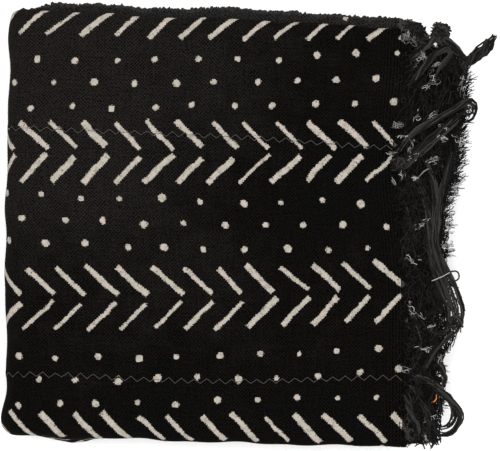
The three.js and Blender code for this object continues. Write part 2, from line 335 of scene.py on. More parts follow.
PALE_TUFTS = (
    (405.5, 35, 5.9, 11), (412.4, 38.5, 5, 8), (418, 61, 5, 7), (424, 55, 4, 5), (437, 64, 3, 7),
    (447, 47, 3, 6), (432, 74, 4, 5), (435, 82, 4, 5), (427, 87, 3, 5), (417, 116, 4, 5),
    (399, 125, 4, 7), (403, 136, 4, 6), (411, 139, 4, 6), (433, 115, 4, 6), (444, 127, 3, 7),
    # Of these, the tuft at pixel (471, 106) is a painted highlight on the loop of a hank, drawn in pale
    # yarn.
    (412, 149, 4, 7), (441, 138, 5, 8), (471, 106, 3, 5), (392, 154, 3, 5), (414, 157, 4, 9),
    (392, 181, 3, 4), (402, 174, 4, 6), (414, 178, 3, 6), (432, 160, 5, 9), (420, 226, 4, 6),
    (427, 220, 3, 4), (416, 261, 5, 7), (410, 259, 3, 4), (412, 308, 4, 5), (421, 316, 4, 4),
    (432, 326, 3, 5), (425, 349, 6, 9), (404, 369, 4, 6), (441, 357, 4, 6), (424, 420, 4, 5),
    (432, 418, 3, 4), (425, 439, 4, 5), (466, 78, 5, 8), (463, 90, 5, 8), (459, 140, 5, 7),
    (456, 190, 5, 7), (449, 222, 5, 7), (447, 245, 4, 6),
)
YARN_LUMPS = (
    (116.5, 118.4, 3.4, 24, 1.5), (120.5, 118.4, 3.2, 22, 1.5), (124.2, 117.4, 2.8, 16, 1.5),
    (137.4, 114.0, 6.8, 64, 5.0), (127.0, 111.0, 5.5, 22, 2.6), (113.5, 38.0, 5.5, 26, 2.6),
    (153.5, 69.0, 4.0, 12, 3.0), (146.0, -54.0, 5.0, 18, 2.4), (125.0, 113.6, 3.6, 14, 1.4),
    (123.0, -109.0, 6.5, 20, 1.8), (130.0, -118.0, 5.5, 18, 1.4), (121.0, -119.0, 4.5, 12, 1.2),
)
LOOSE_EDGE = (
    (-126, 16), (-110, 20), (-99, 20), (-87, 22), (-75, 20), (-64, 25), (-52, 33), (-41, 32), (-29, 29),
    (-18, 25), (-6, 22), (17, 25), (29, 28), (52, 31), (75, 36), (98, 34), (110, 24), (118, 12),
)
WRAPPED_YARN = ((132.4, -29.8), (137.0, -27.9), (141.0, -25.8), (143.4, -24.6))
YARN_LOOP = (
    (141.6, -25.6), (144.5, -24.0), (147.3, -24.8), (147.8, -27.8), (145.8, -29.8), (143.8, -28.4),
    (143.4, -25.6),
)
PALE_THREAD = ((124.7, 30.4), (127.6, 33.6), (131.2, 35.6))
ORANGE_FLECK = ((132.4, -100.5), (134.4, -98.7), (135.4, -96.0))
UPPER_ROWS = (
    dict(lie=1, locks=10, length=20, lean=-14, sway=8, width=4),
    dict(lie=0, locks=10, length=19, lean=-10, sway=8, width=4),
    dict(lie=3, locks=12, length=21, lean=-12, sway=8, width=4),
)
UNDER_ROWS = (
    dict(lie=2, locks=26, length=9, lean=6, sway=12, width=2.4),
    dict(lie=1, locks=12, length=10, lean=-6, sway=12, width=2.6),
    dict(lie=0, locks=12, length=10, lean=4, sway=12, width=2.6),
    dict(lie=3, locks=14, length=12, lean=-8, sway=14, width=2.8),
)
ROW_MARGIN = 8 * MM
ROW_STRANDS = 11
YARN_RADIUS = 0.36 * MM
SINGLE_YARN = 0.3
LOOP_LIFT = 4.2
PALE_LIFT = 3.0
FLECK = dict(lift=3.6, width=0.5, strands=2)
PAST_LIMIT_SHARE = 0.2
FRINGE_SEED = 7
YARN_SEED = 11
TURN_SEED = 31

# Loose single yarns: low and high limits of their heading and curl in degrees, and of their length and
# their height above the under end in millimetres.
COVERING = dict(count=1500, lean=(-135, -45), curl=(-70, 70), length=(9, 22), height=(-0.6, 1.4))
THRUMS = dict(count=1000, lean=(-160, 160), curl=(-300, 300), length=(3, 8), height=(-0.2, 2.0), points=7)
CURLS = dict(count=1100, lean=(-180, 180), curl=(-360, 360), length=(3, 8), height=(0.3, 2.4), points=7)
BRISTLES = dict(count=1500, lean=(-20, 60), curl=(0, 110), length=(4, 9), height=(-1.0, 0.4), points=7)
LONG_BRISTLES = dict(
    count=800, lean=(-10, 50), curl=(0, 80), length=(8, 14), height=(-1.0, 0.2), points=7, lowest=26 * MM
)
LUMP_CURLS = dict(points=14, length=(12, 24), bend=0.45)
TUFT_CURLS = dict(points=7, length=(1.5, 6), bend=0.55, stretch=1.9)
TUFT = dict(reach=1.25, curls=1.3, height=3.4)

# Colours, linear.
MUD_BLACK = (0.0020, 0.0018, 0.0016, 1)
MUD_BROWN = (0.0062, 0.0054, 0.0049, 1)
MUD_BLUE = (0.0019, 0.0019, 0.0019, 1)
DYE_GRAIN = dict(broad=9.0, small=95.0)
DYE_SHARE = dict(broad=0.5, small=0.25)
BROWN_WHERE = (0.36, 0.66)
BLUE_WHERE = (0.40, 0.28)
DYE_TONE = (0.31, 0.75, 0.10, 2.3)
# Paler towards this place, the upper left of the top lie: a pool of painted light, with its outer and
# inner reach and how much paler.
PAINTED_LIGHT_PLACE = dict(at=(-95 * MM, 88 * MM, 0.0), outer=210 * MM, inner=20 * MM, share=0.30)
# The cloth is up to five times lighter along the two selvedges, between these heights on the chart.
LIGHTER_SELVEDGES = ((582 * MM, 588 * MM), (-362 * MM, -368 * MM))
SELVEDGE_LIGHTNESS = 5.0
PAINT_CREAM = (0.350, 0.309, 0.270, 1)
PAINT_GREEN = (0.321, 0.302, 0.255, 1)
PAINT_DULL = (0.205, 0.178, 0.152, 1)
PAINT_WEAR = dict(grain=330.0, worn=0.65, weave=0.35, low=0.32, high=0.58)
PAINT_TINT = dict(grain=60.0, low=0.40, high=0.62)
YARN_TONE = dict(grain=1400.0, fibres=0.5, strand=0.6, low=0.35, high=0.95)
CLOTH_RELIEF = dict(Strength=0.55, Distance=0.25 * MM)
YARN_RELIEF = dict(Strength=0.5, Distance=0.15 * MM)
THREAD_GREY = (0.075, 0.072, 0.069, 1)
YARN_BLACK = (0.0026, 0.0024, 0.0023, 1)
YARN_GREY = (0.0165, 0.0152, 0.0145, 1)
SELVEDGE_BLACK = (0.023, 0.0213, 0.0202, 1)
HANK_BLACK = (0.0035, 0.0032, 0.0031, 1)
HANK_GREY = (0.034, 0.031, 0.0295, 1)
RAW_DARK = (0.10, 0.095, 0.09, 1)
RAW_COTTON = (0.53, 0.50, 0.47, 1)
FLECK_ORANGE = (0.55, 0.16, 0.05, 1)
FLOOR_WHITE = (0.93, 0.93, 0.93, 1)

# The view: straight down on the pile.
VIEW_CENTRE = np.array((26.96, 2.31, 0.0)) * MM
PHOTO_WIDTH = 289.5 * MM
LENS = 150.0
SENSOR = 36.0
LIGHTS = (
    dict(name="key", place=(-0.2, 0.3, 1.6), size=1.0, power=11.8),
    dict(name="fill", place=(0.35, -0.25, 1.6), size=1.2, power=7.0),
)
SKY_STRENGTH = 1.15
FLOOR_HALF = 3.0


# Folding

def smooth(x, low, high):
    t = np.clip((x - low) / (high - low), 0, 1)
    return t * t * (3 - 2 * t)


def bump(t):
    return np.exp(-t * t)


def graded(ends, height):
    """A size that changes evenly from the foot of the pile to its top."""
    return ends["foot"] + (ends["top"] - ends["foot"]) * height


class FoldedPath:
    """A back-and-forth path of flat lies joined by folds."""

    def __init__(self, start, lies):
        self.spans = []
        self.lie_starts = []
        total = 0.0
        begin = start
        for row, (level, end, bulge) in enumerate(lies):
            way = np.sign(end - begin)
            side = -1 if row % 2 else 1
            flat = dict(at=total, length=abs(end - begin), begin=begin, way=way, side=side)
            self.lie_starts.append(total)
            self.spans.append(dict(flat, level=level * PITCH, flat=True))
            total += abs(end - begin)
            begin = end
            if row + 1 < len(lies):
                drop = (level - lies[row + 1][0]) * PITCH / 2
                arc = pi * (abs(drop) + bulge / 2)
                fold = dict(at=total, length=arc, begin=end, way=way, side=side, flat=False)
                middle = level * PITCH - drop
                fold.update(radius=abs(drop), above=np.sign(drop), bulge=bulge)
                self.spans.append(dict(fold, middle=middle))
                total += arc
        self.length = total

    def at(self, s, offset):
        """The place along the lies and the height of points at length s and an offset."""
        s, offset = np.broadcast_arrays(np.asarray(s, float), np.asarray(offset, float))
        place = np.zeros(s.shape)
        height = np.zeros(s.shape)
        for k, span in enumerate(self.spans):
            here = np.ones(s.shape, bool)
            if k > 0:
                here &= s >= span["at"]
            if k + 1 < len(self.spans):
                here &= s < self.spans[k + 1]["at"]
            along = s[here] - span["at"]
            aside = span["side"] * offset[here]
            if span["flat"]:
                place[here] = span["begin"] + span["way"] * along
                height[here] = span["level"] + aside
            else:
                turn = pi * along / span["length"]
                r = span["radius"] + span["above"] * aside
                place[here] = span["begin"] + span["way"] * (r + span["bulge"]) * np.sin(turn)
                height[here] = span["middle"] + span["above"] * r * np.cos(turn)
        return place, height

    def stations(self, flat_steps, fold_steps):
        """Lengths along the path, with the given step on each lie and count around each fold."""
        marks = []
        lie = 0
        for span in self.spans:
            if span["flat"]:
                count = max(1, round(span["length"] / flat_steps[lie]))
                lie += 1
            else:
                count = fold_steps
            marks.append(span["at"] + span["length"] * np.arange(count) / count)
        return np.concatenate(marks + [[self.length]])


ACROSS = FoldedPath(FACE_SPAN / 2, ACROSS_LIES)
ALONG = FoldedPath(UPPER_END, ALONG_LIES)
TOP_LIE = ACROSS.lie_starts[2]


def settle(x, y, z):
    """Settles points of the ideal pile on the table, in the frame of the solids."""
    x, y, z = np.broadcast_arrays(np.asarray(x, float), np.asarray(y, float), np.asarray(z, float))
    height = z / PILE_HEIGHT
    on_top = z > PILE_MIDDLE + LAYERS / 6 * PITCH
    at_fold = 1 - smooth(x, LEFT_WAVE["full"], LEFT_WAVE["end"])
    wave = np.sin(2 * pi * (y - LEFT_WAVE["start"]) / LEFT_WAVE["length"])
    drawn = bump((y - DRAWN_END["y"]) / DRAWN_END["reach"])
    drawn = drawn * smooth(x, DRAWN_END["start"], DRAWN_END["full"])
    px = x + LEFT_WAVE["size"] * wave * at_fold - DRAWN_END["size"] * drawn * on_top
    py = y - tan(radians(SKEW)) * px
    for bulge in BULGES:
        share = np.maximum(0, bulge["side"] * y / (FACE_SPAN / 2)) ** 2
        push = graded(bulge, height) * share * bump((x - bulge["x"]) / bulge["reach"])
        py = py + bulge["side"] * push
    for shift in SHIFTS:
        near = bump((x - shift["x"]) / shift["reach_x"]) * bump((y - shift["y"]) / shift["reach_y"])
        py = py + shift["size"] * near
    pz = z * (1 - WEDGE * x / UPPER_END)
    # Small unevenness of the looks.
    corner = smooth(np.abs(y), CORNER["start"], CORNER["full"]) ** 2
    corner = corner * (1 - smooth(x, CORNER["left"], CORNER["right"]))
    px = px + np.where(y > 0, CORNER["upper"], CORNER["lower"]) * corner * height
    flare = bump((y - FLARE["y"]) / FLARE["reach"]) * (1 - smooth(x, FLARE["left"], FLARE["right"]))
    px = px - flare * graded(FLARE_OUT, height)
    py = py - flare * graded(FLARE_DOWN, height)
    for dip in SELVEDGE_DIPS:
        near = smooth(y, *SELVEDGE_ZONE) * bump((x - dip["x"]) / dip["reach"])
        py = py - dip["size"] * near
    past_flat = np.maximum(np.abs(y) - FOLD_ZONE["y"], FOLD_ZONE["x"] - x)
    near_fold = smooth(past_flat, 0, FOLD_ZONE["reach"])
    for r in FOLD_RIPPLES:
        push = r["size"] * near_fold * np.sin(r["x"] * x + r["y"] * y + r["z"] * z + r["start"])
        px = px + push
        py = py + push
    for r in HEIGHT_RIPPLES:
        pz = pz * (1 + r["size"] * np.sin(r["x"] * x + r["y"] * y + r["start"]))
    return np.stack((px, py, pz), axis=-1) + FRAME_SHIFT


def under_reach(y):
    """How far the under end sticks out past the upper one."""
    return np.interp(y / FACE_SPAN + 0.5, UNDER_SHARES, UNDER_REACHES)


def cloth_points(at, turn, past, v, lift):
    """Points of the cloth. at and turn place a course on the doubled cloth, v is across the strips,
    and past is how much of the reach of the under end the course lies out."""
    reach = PITCH / 2 + lift
    y, level = ACROSS.at(v, reach * np.cos(turn))
    x, z = ALONG.at(at - past * under_reach(y) + reach * np.sin(turn), level)
    return settle(x, y, z + PILE_MIDDLE)


def cloth_grid(courses, stations, lift):
    """Points of the cloth where courses cross stations."""
    rows = [courses[key][:, None] for key in ("at", "turn", "past")]
    return cloth_points(*rows, np.asarray(stations)[None, :], lift)


# Meshes

def new_object(name, points, faces, edges=()):
    mesh = bpy.data.meshes.new(name)
    mesh.from_pydata([tuple(p) for p in points], [tuple(e) for e in edges], [tuple(f) for f in faces])
    mesh.update()
    piece = bpy.data.objects.new(name, mesh)
    bpy.context.scene.collection.objects.link(piece)
    return piece


def run_lengths(points, axis):
    """Lengths along the lines of a grid of points, from their first point."""
    steps = np.linalg.norm(np.diff(points, axis=axis), axis=2)
    start = np.zeros_like(np.take(steps, [0], axis=axis))
    return np.cumsum(np.concatenate((start, steps), axis=axis), axis=axis)


def chart_down(courses, stations):
    """Heights on the flat chart, measured on the cloth from the middle of the top lie."""
    run = run_lengths(cloth_grid(courses, stations, CLOTH / 2), 1)
    middle = np.argmin(np.abs(stations - TOP_LIE - FACE_SPAN / 2))
    return FACE_SPAN / 2 - (stations[middle] - TOP_LIE) - (run - run[:, [middle]])


def sheet_object(name, courses, stations, lift, down):
    """A closed sheet of cloth between courses and stations, with its flat chart as a UV map.

    lift(stations) is how far the face stands above the middle of the cloth at each station, and down
    has the heights on the chart."""
    face = cloth_grid(courses, stations, lift(stations))
    back = cloth_grid(courses, stations, -CLOTH / 2)
    m, n = face.shape[:2]
    number = np.arange(m * n).reshape(m, n)
    under = number + m * n

    def quads(a, b, c, d):
        return np.stack((a, b, c, d), axis=-1).reshape(-1, 4)

    def ring(grid):
        return grid[:-1, :-1], grid[1:, :-1], grid[1:, 1:], grid[:-1, 1:]

    a, b, c, d = ring(number)
    e, f, g, h = ring(under)
    walls = [
        quads(under[:-1, 0], under[1:, 0], number[1:, 0], number[:-1, 0]),
        quads(number[:-1, -1], number[1:, -1], under[1:, -1], under[:-1, -1]),
        quads(number[0, :-1], number[0, 1:], under[0, 1:], under[0, :-1]),
        quads(under[-1, :-1], under[-1, 1:], number[-1, 1:], number[-1, :-1]),
    ]
    faces = np.concatenate([quads(a, b, c, d), quads(e, h, g, f)] + walls)
    points = np.concatenate((face.reshape(-1, 3), back.reshape(-1, 3)))
    piece = new_object(name, points, faces)
    along = UPPER_END - courses["start"] - run_lengths(face, 0)
    chart = np.concatenate((np.stack((along, down), axis=-1).reshape(-1, 2),) * 2)
    mesh = piece.data
    corners = np.empty(len(mesh.loops), np.int32)
    mesh.loops.foreach_get("vertex_index", corners)
    mesh.uv_layers.new(name="chart").data.foreach_set("uv", chart[corners].astype(np.float32).ravel())
    finish = np.ones(len(faces), np.int32)
    finish[: (m - 1) * (n - 1)] = 0
    mesh.polygons.foreach_set("material_index", finish)
    mesh.polygons.foreach_set("use_smooth", np.ones(len(faces), bool))
    mesh.set_sharp_from_angle(angle=radians(CREASE_ANGLE))
    return piece


# Node trees

class Tree:
    """A node tree under construction. Values that are sockets are linked, others are set."""

    def __init__(self, tree):
        self.tree = tree

    def node(self, kind, inputs=None, **settings):
        made = self.tree.nodes.new(kind)
        for key, value in settings.items():
            setattr(made, key, value)
        for key, value in (inputs or {}).items():
            self.put(made.inputs[key], value)
        return made

    def put(self, socket, value):
        if isinstance(value, bpy.types.NodeSocket):
            self.tree.links.new(value, socket)
        else:
            socket.default_value = value


class ShaderTree(Tree):
    """Short forms for the shader nodes that the finishes use."""

    def math(self, operation, *values):
        return self.node("ShaderNodeMath", dict(enumerate(values)), operation=operation).outputs[0]

    def add(self, a, b):
        return self.math("ADD", a, b)

    def subtract(self, a, b):
        return self.math("SUBTRACT", a, b)

    def multiply(self, a, b):
        return self.math("MULTIPLY", a, b)

    def multiply_add(self, a, b, c):
        return self.math("MULTIPLY_ADD", a, b, c)

    def vector(self, operation, *values):
        return self.node("ShaderNodeVectorMath", dict(enumerate(values)), operation=operation).outputs[0]

    def scaled(self, vector, size):
        return self.node("ShaderNodeVectorMath", {0: vector, "Scale": size}, operation="SCALE").outputs[0]

    def length(self, vector):
        return self.node("ShaderNodeVectorMath", {0: vector}, operation="LENGTH").outputs["Value"]

    def parts(self, vector):
        return self.node("ShaderNodeSeparateXYZ", {0: vector}).outputs

    def joined(self, x, y, z=0.0):
        return self.node("ShaderNodeCombineXYZ", {0: x, 1: y, 2: z}).outputs[0]

    def noise(self, vector, scale, detail=2.0, roughness=0.5, output="Fac"):
        values = {"Vector": vector, "Scale": scale, "Detail": detail, "Roughness": roughness}
        return self.node("ShaderNodeTexNoise", values).outputs[output]

    def stray(self, vector, scale):
        """Smooth random vectors, up to a half either way."""
        drawn = self.noise(vector, scale, detail=1.0, output="Color")
        return self.vector("SUBTRACT", drawn, (0.5, 0.5, 0.5))

    def dice(self, x, y, z):
        """Three random values for each whole-numbered place."""
        vector = self.joined(x, y, z)
        drawn = self.node("ShaderNodeTexWhiteNoise", {"Vector": vector}, noise_dimensions="3D")
        return self.parts(drawn.outputs["Color"])

    def ramp(self, value, low, high, start=0.0, end=1.0):
        values = {0: value, 1: low, 2: high, 3: start, 4: end}
        return self.node("ShaderNodeMapRange", values, interpolation_type="SMOOTHSTEP").outputs[0]

    def blend(self, share, a, b):
        values = {0: share, 6: a, 7: b}
        return self.node("ShaderNodeMix", values, data_type="RGBA").outputs[2]

    def spread(self, value, size):
        """A random value turned into an offset of up to half the size either way."""
        return self.multiply(self.subtract(value, 0.5), size)

    def uneven(self, value, size, share):
        """A random value turned into a size that varies by the share in all."""
        return self.multiply_add(value, share * size, (1 - share / 2) * size)

    def group(self, tree, **inputs):
        return self.node("ShaderNodeGroup", inputs, node_tree=tree).outputs


def new_group(name, inputs, outputs):
    """A shader node group with named sockets, its input node and its output node."""
    group = bpy.data.node_groups.new(name, "ShaderNodeTree")
    for key, kind in inputs.items():
        group.interface.new_socket(key, in_out="INPUT", socket_type=kind)
    for key, kind in outputs.items():
        group.interface.new_socket(key, in_out="OUTPUT", socket_type=kind)
    tree = ShaderTree(group)
    return tree, tree.node("NodeGroupInput"), tree.node("NodeGroupOutput")


def painted_strokes(t, x, y):
    """Signed distance to the nearest stroke of the chevrons, point to the right."""
    band = t.math("DIVIDE", t.subtract(y, BAND_START), BAND_PITCH)
    row = t.math("FLOOR", t.add(band, 0.5))
    from_middle = t.multiply(t.subtract(band, row), BAND_PITCH)
    side = t.math("SIGN", from_middle)
    aside = t.math("ABSOLUTE", from_middle)
    slid = t.multiply_add(aside, STROKE_SLANT, t.subtract(x, CHEVRON_TIP))
    for band_row, slide in BAND_SLIDES.items():
        slid = t.multiply_add(t.math("COMPARE", row, float(band_row), 0.1), -slide, slid)
    cell = t.math("DIVIDE", slid, CHEVRON_PITCH)
    column = t.math("FLOOR", t.add(cell, 0.5))
    off = t.multiply(t.subtract(cell, column), CHEVRON_PITCH)
    place = t.dice(column, row, side)
    size = t.dice(column, t.add(row, 0.37), side)
    middle = STROKE_START + STROKE_REACH / 2
    lengthwise = t.subtract(aside, middle)
    lean = t.multiply(lengthwise, t.spread(place[1], STROKE_UNEVEN["lean"]))
    off = t.add(t.add(off, lean), t.spread(place[0], STROKE_UNEVEN["slide"]))
    slope = (1 + STROKE_SLANT**2) ** 0.5
    creep = t.spread(place[2], STROKE_UNEVEN["creep"])
    along = t.multiply(t.add(lengthwise, creep), slope)
    along = t.subtract(along, t.multiply(off, STROKE_SLANT / slope))
    shortest = STROKE_REACH * slope / 2 - STROKE_SHORT
    half = t.multiply_add(size[0], STROKE_UNEVEN["reach"], shortest)
    thick = t.uneven(size[1], STROKE_WIDTH / 2, STROKE_UNEVEN["width"])
    past = t.subtract(t.math("ABSOLUTE", along), t.multiply_add(thick, STROKE_CAP, half))
    across = t.subtract(t.math("ABSOLUTE", t.math("DIVIDE", off, slope)), thick)
    return t.math("SMOOTH_MAX", past, across, STROKE_ROUND)


def painted_dots(t, x, y):
    """Signed distance to the nearest dot, in three staggered rows between the bands."""
    band = t.math("DIVIDE", t.subtract(y, BAND_START - BAND_PITCH / 2), BAND_PITCH)
    group = t.math("FLOOR", t.add(band, 0.5))
    from_middle = t.multiply(t.subtract(band, group), BAND_PITCH)
    row = t.math("FLOOR", t.add(t.math("DIVIDE", from_middle, DOT_ROW), 0.5))
    outside = t.math("GREATER_THAN", t.math("ABSOLUTE", row), 1.5)
    aside = t.multiply_add(row, -DOT_ROW, from_middle)
    stagger = t.multiply(t.subtract(1.0, t.math("ABSOLUTE", row)), 0.5)
    stagger = t.multiply_add(group, DOT_SLIDE, stagger)
    cell = t.add(t.math("DIVIDE", t.subtract(x, DOT_START), DOT_PITCH), stagger)
    column = t.math("FLOOR", t.add(cell, 0.5))
    off = t.multiply(t.subtract(cell, column), DOT_PITCH)
    drawn = t.dice(column, row, t.add(group, 0.61))
    off = t.add(off, t.spread(drawn[0], DOT_UNEVEN["slide"]))
    aside = t.add(aside, t.spread(drawn[1], DOT_UNEVEN["rise"]))
    radius = t.uneven(drawn[2], DOT_RADIUS, DOT_UNEVEN["radius"])
    return t.add(outside, t.subtract(t.length(t.joined(off, aside)), radius))


def painted_by_eye(t, lines, x, y):
    """The height in the pattern of a place on the chart."""
    moves = [Vector((line["shift"], line["climb"], line["bow"])) * MM for line in lines]
    moved = t.joined(*moves[0])
    for k in range(1, len(moves)):
        below = t.math("LESS_THAN", y, lines[k]["top"])
        step = tuple(moves[k] - moves[k - 1])
        moved = t.vector("MULTIPLY_ADD", step, t.joined(below, below, below), moved)
    run = t.math("MAXIMUM", t.multiply(x, 1 / EYE_RUN), -EYE_LIMIT)
    run = t.math("MINIMUM", run, EYE_LIMIT)
    shift, climb, bow = t.parts(moved)
    climb = t.multiply_add(t.multiply_add(bow, run, climb), run, shift)
    return t.subtract(y, climb)


def painted_marks():
    """The chevrons and dots on the cloth's flat chart, as a mask with ragged, hand-painted edges."""
    inputs = {"Chart": "NodeSocketVector"}
    t, given, result = new_group("painted_marks", inputs, {"Paint": "NodeSocketFloat"})
    chart = given.outputs["Chart"]
    hand = t.vector("ADD", chart, t.scaled(t.stray(chart, HAND["grain"]), HAND["wander"]))
    yarns = t.vector("ADD", t.vector("SNAP", hand, (YARN_PITCH,) * 3), (YARN_PITCH / 2,) * 3)
    values = {0: HAND["stepped"], 4: hand, 5: yarns}
    stepped = t.node("ShaderNodeMix", values, data_type="VECTOR").outputs[1]
    x, y, _ = t.parts(stepped)
    strokes = painted_strokes(t, x, painted_by_eye(t, BAND_LINES, x, y))
    dots = painted_dots(t, x, painted_by_eye(t, DOT_LINES, x, y))
    edge = t.math("MINIMUM", strokes, dots)
    for grain in PAINT_EDGE["grains"]:
        edge = t.add(edge, t.spread(t.noise(chart, grain), PAINT_EDGE["size"]))
    paint = t.ramp(edge, PAINT_EDGE["outer"], PAINT_EDGE["inner"])
    flaked = t.ramp(t.noise(chart, PAINT_FLAKES["grain"]), PAINT_FLAKES["low"], PAINT_FLAKES["high"])
    paint = t.multiply(paint, t.multiply_add(flaked, -PAINT_FLAKES["share"], 1.0))
    flat_x, flat_y, _ = t.parts(chart)
    bare = t.multiply(t.ramp(flat_y, *BARE_SELVEDGE["y"]), t.ramp(flat_x, *BARE_SELVEDGE["x"]))
    t.put(result.inputs["Paint"], t.multiply(paint, t.subtract(1.0, bare)))
    return t.tree


def handspun_weave():
    """Plain weave of uneven yarn on the chart: a height for bump, and the tone of each yarn, with painted
    light in it: the tops of the crossings lighter as a painted highlight, and ribs beside the fringe as
    stripes of painted light and shade.
    """
    outputs = {"Height": "NodeSocketFloat", "Tone": "NodeSocketFloat"}
    t, given, result = new_group("handspun_weave", {"Chart": "NodeSocketVector"}, outputs)
    chart = given.outputs["Chart"]
    wander = t.stray(chart, YARN_WANDER["grain"])
    moved = t.vector("MULTIPLY_ADD", wander, (YARN_WANDER["size"],) * 3, chart)
    x, y, _ = t.parts(t.scaled(moved, pi / YARN_PITCH))
    crossing = t.multiply(t.math("SINE", x), t.math("SINE", y))
    long, short = SLUB_GRAIN
    warp = t.noise(t.vector("MULTIPLY", chart, (long, short, 1.0)), 1.0)
    weft = t.noise(t.vector("MULTIPLY", chart, (short, long, 1.0)), 1.0)
    slub = t.add(warp, weft)
    fibres = t.noise(chart, FIBRE_GRAIN, roughness=0.6)
    uneven = t.multiply_add(slub, WEAVE_TONE_AND_HIGHLIGHT["slub"], t.multiply(fibres, WEAVE_TONE_AND_HIGHLIGHT["fibres"]))
    flat_x, _, _ = t.parts(chart)
    # Painted light and shade of ribs: stripes in the colour only.
    rib_shading = t.math("SINE", t.multiply(flat_x, 2 * pi / RIB_SHADING["pitch"]))
    beside_fringe = t.ramp(flat_x, RIB_SHADING["start"], RIB_SHADING["full"], 0.0, RIB_SHADING["size"])
    uneven = t.multiply_add(rib_shading, beside_fringe, uneven)
    height = t.multiply_add(slub, WEAVE_HEIGHT["slub"], t.multiply(crossing, WEAVE_HEIGHT["crossing"]))
    t.put(result.inputs["Height"], height)
    # The tops of the crossings are lighter in the tone: a painted highlight.
    t.put(result.inputs["Tone"], t.multiply_add(crossing, WEAVE_TONE_AND_HIGHLIGHT["crossing"], uneven))
    return t.tree


def mud_dye():
    """The uneven black of fermented mud: brown where it is thin, bluish where it is dense. It is also
    paler towards the upper left of the top lie, which is painted light, and lighter along the two
    selvedges.
    """
    inputs = {"Place": "NodeSocketVector", "Tone": "NodeSocketFloat"}
    t, given, result = new_group("mud_dye", inputs, {"Color": "NodeSocketColor"})
    place = given.outputs["Place"]
    broad = t.noise(place, DYE_GRAIN["broad"], detail=3.0, roughness=0.6)
    small = t.noise(place, DYE_GRAIN["small"], detail=3.0, roughness=0.6)
    # A pool of painted light: the cloth is paler towards the upper left of the top lie.
    away = t.length(t.vector("SUBTRACT", place, PAINTED_LIGHT_PLACE["at"]))
    painted_light = t.ramp(away, PAINTED_LIGHT_PLACE["outer"], PAINTED_LIGHT_PLACE["inner"], 0.0, PAINTED_LIGHT_PLACE["share"])
    thin_mud_and_light = t.multiply_add(broad, DYE_SHARE["broad"], painted_light)
    thin_mud_and_light = t.multiply_add(small, DYE_SHARE["small"], thin_mud_and_light)
    color = t.blend(t.ramp(thin_mud_and_light, *BROWN_WHERE), MUD_BLACK, MUD_BROWN)
    color = t.blend(t.ramp(thin_mud_and_light, *BLUE_WHERE), color, MUD_BLUE)
    # The yarn's tone, which carries the painted highlight of the crossings and the painted light and
    # shade of the ribs.
    tone = t.ramp(given.outputs["Tone"], *DYE_TONE)
    _, down, _ = t.parts(place)
    # Lighter along the two selvedges, up to five times.
    worn = [t.ramp(down, low, high, 1.0, SELVEDGE_LIGHTNESS) for low, high in LIGHTER_SELVEDGES]
    tone = t.multiply(tone, t.math("MAXIMUM", *worn))
    t.put(result.inputs["Color"], t.scaled(color, tone))
    return t.tree


# Finishes

def new_finish(name, roughness, sheen, gloss=0.012):
    """A material with its shader. Returns the material, its tree and the shader."""
    material = bpy.data.materials.new(name)
    material.use_nodes = True
    tree = ShaderTree(material.node_tree)
    shader = material.node_tree.nodes["Principled BSDF"]
    shader.inputs["Roughness"].default_value = roughness
    shader.inputs["Specular IOR Level"].default_value = gloss
    shader.inputs["Sheen Weight"].default_value = sheen
    shader.inputs["Sheen Roughness"].default_value = 0.45
    return material, tree, shader


def cloth_finish(name, groups, paint_share):
    """Dyed hand-woven cotton. paint_share is how much of the painted marks shows."""
    material, t, shader = new_finish(name, roughness=0.92, sheen=0.008)
    chart = t.node("ShaderNodeUVMap", uv_map="chart").outputs["UV"]
    weave = t.group(groups["weave"], Chart=chart)
    dye = t.group(groups["dye"], Place=chart, Tone=weave["Tone"])
    marks = t.group(groups["marks"], Chart=chart)
    worn = t.noise(chart, PAINT_WEAR["grain"], detail=3.0, roughness=0.65)
    worn = t.multiply_add(weave["Tone"], PAINT_WEAR["weave"], t.multiply(worn, PAINT_WEAR["worn"]))
    worn = t.ramp(worn, PAINT_WEAR["low"], PAINT_WEAR["high"])
    tint = t.ramp(t.noise(chart, PAINT_TINT["grain"]), PAINT_TINT["low"], PAINT_TINT["high"])
    cream = t.blend(worn, PAINT_DULL, t.blend(tint, PAINT_CREAM, PAINT_GREEN))
    share = t.multiply(marks["Paint"], paint_share)
    t.put(shader.inputs["Base Color"], t.blend(share, dye["Color"], cream))
    relief = dict(CLOTH_RELIEF, Height=weave["Height"])
    t.put(shader.inputs["Normal"], t.node("ShaderNodeBump", relief).outputs["Normal"])
    return material


def yarn_finish(name, dark, light, sheen, roughness=0.9, gloss=0.012):
    """Hand-spun yarn, each strand of its own tone, with fine fibres."""
    material, t, shader = new_finish(name, roughness, sheen, gloss)
    strand = t.node("ShaderNodeAttribute", attribute_name="strand").outputs["Fac"]
    place = t.node("ShaderNodeTexCoord").outputs["Object"]
    fibres = t.noise(place, YARN_TONE["grain"])
    tone = t.multiply_add(fibres, YARN_TONE["fibres"], t.multiply(strand, YARN_TONE["strand"]))
    tone = t.ramp(tone, YARN_TONE["low"], YARN_TONE["high"])
    t.put(shader.inputs["Base Color"], t.blend(tone, dark, light))
    relief = dict(YARN_RELIEF, Height=fibres)
    t.put(shader.inputs["Normal"], t.node("ShaderNodeBump", relief).outputs["Normal"])
    return material


def thread_finish(name, groups):
    """Grey sewing thread, covered where the painted marks pass over it."""
    material, t, shader = new_finish(name, roughness=0.9, sheen=0.02)
    chart = t.node("ShaderNodeAttribute", attribute_name="chart").outputs["Vector"]
    marks = t.group(groups["marks"], Chart=chart)
    t.put(shader.inputs["Base Color"], t.blend(marks["Paint"], THREAD_GREY, PAINT_CREAM))
    return material


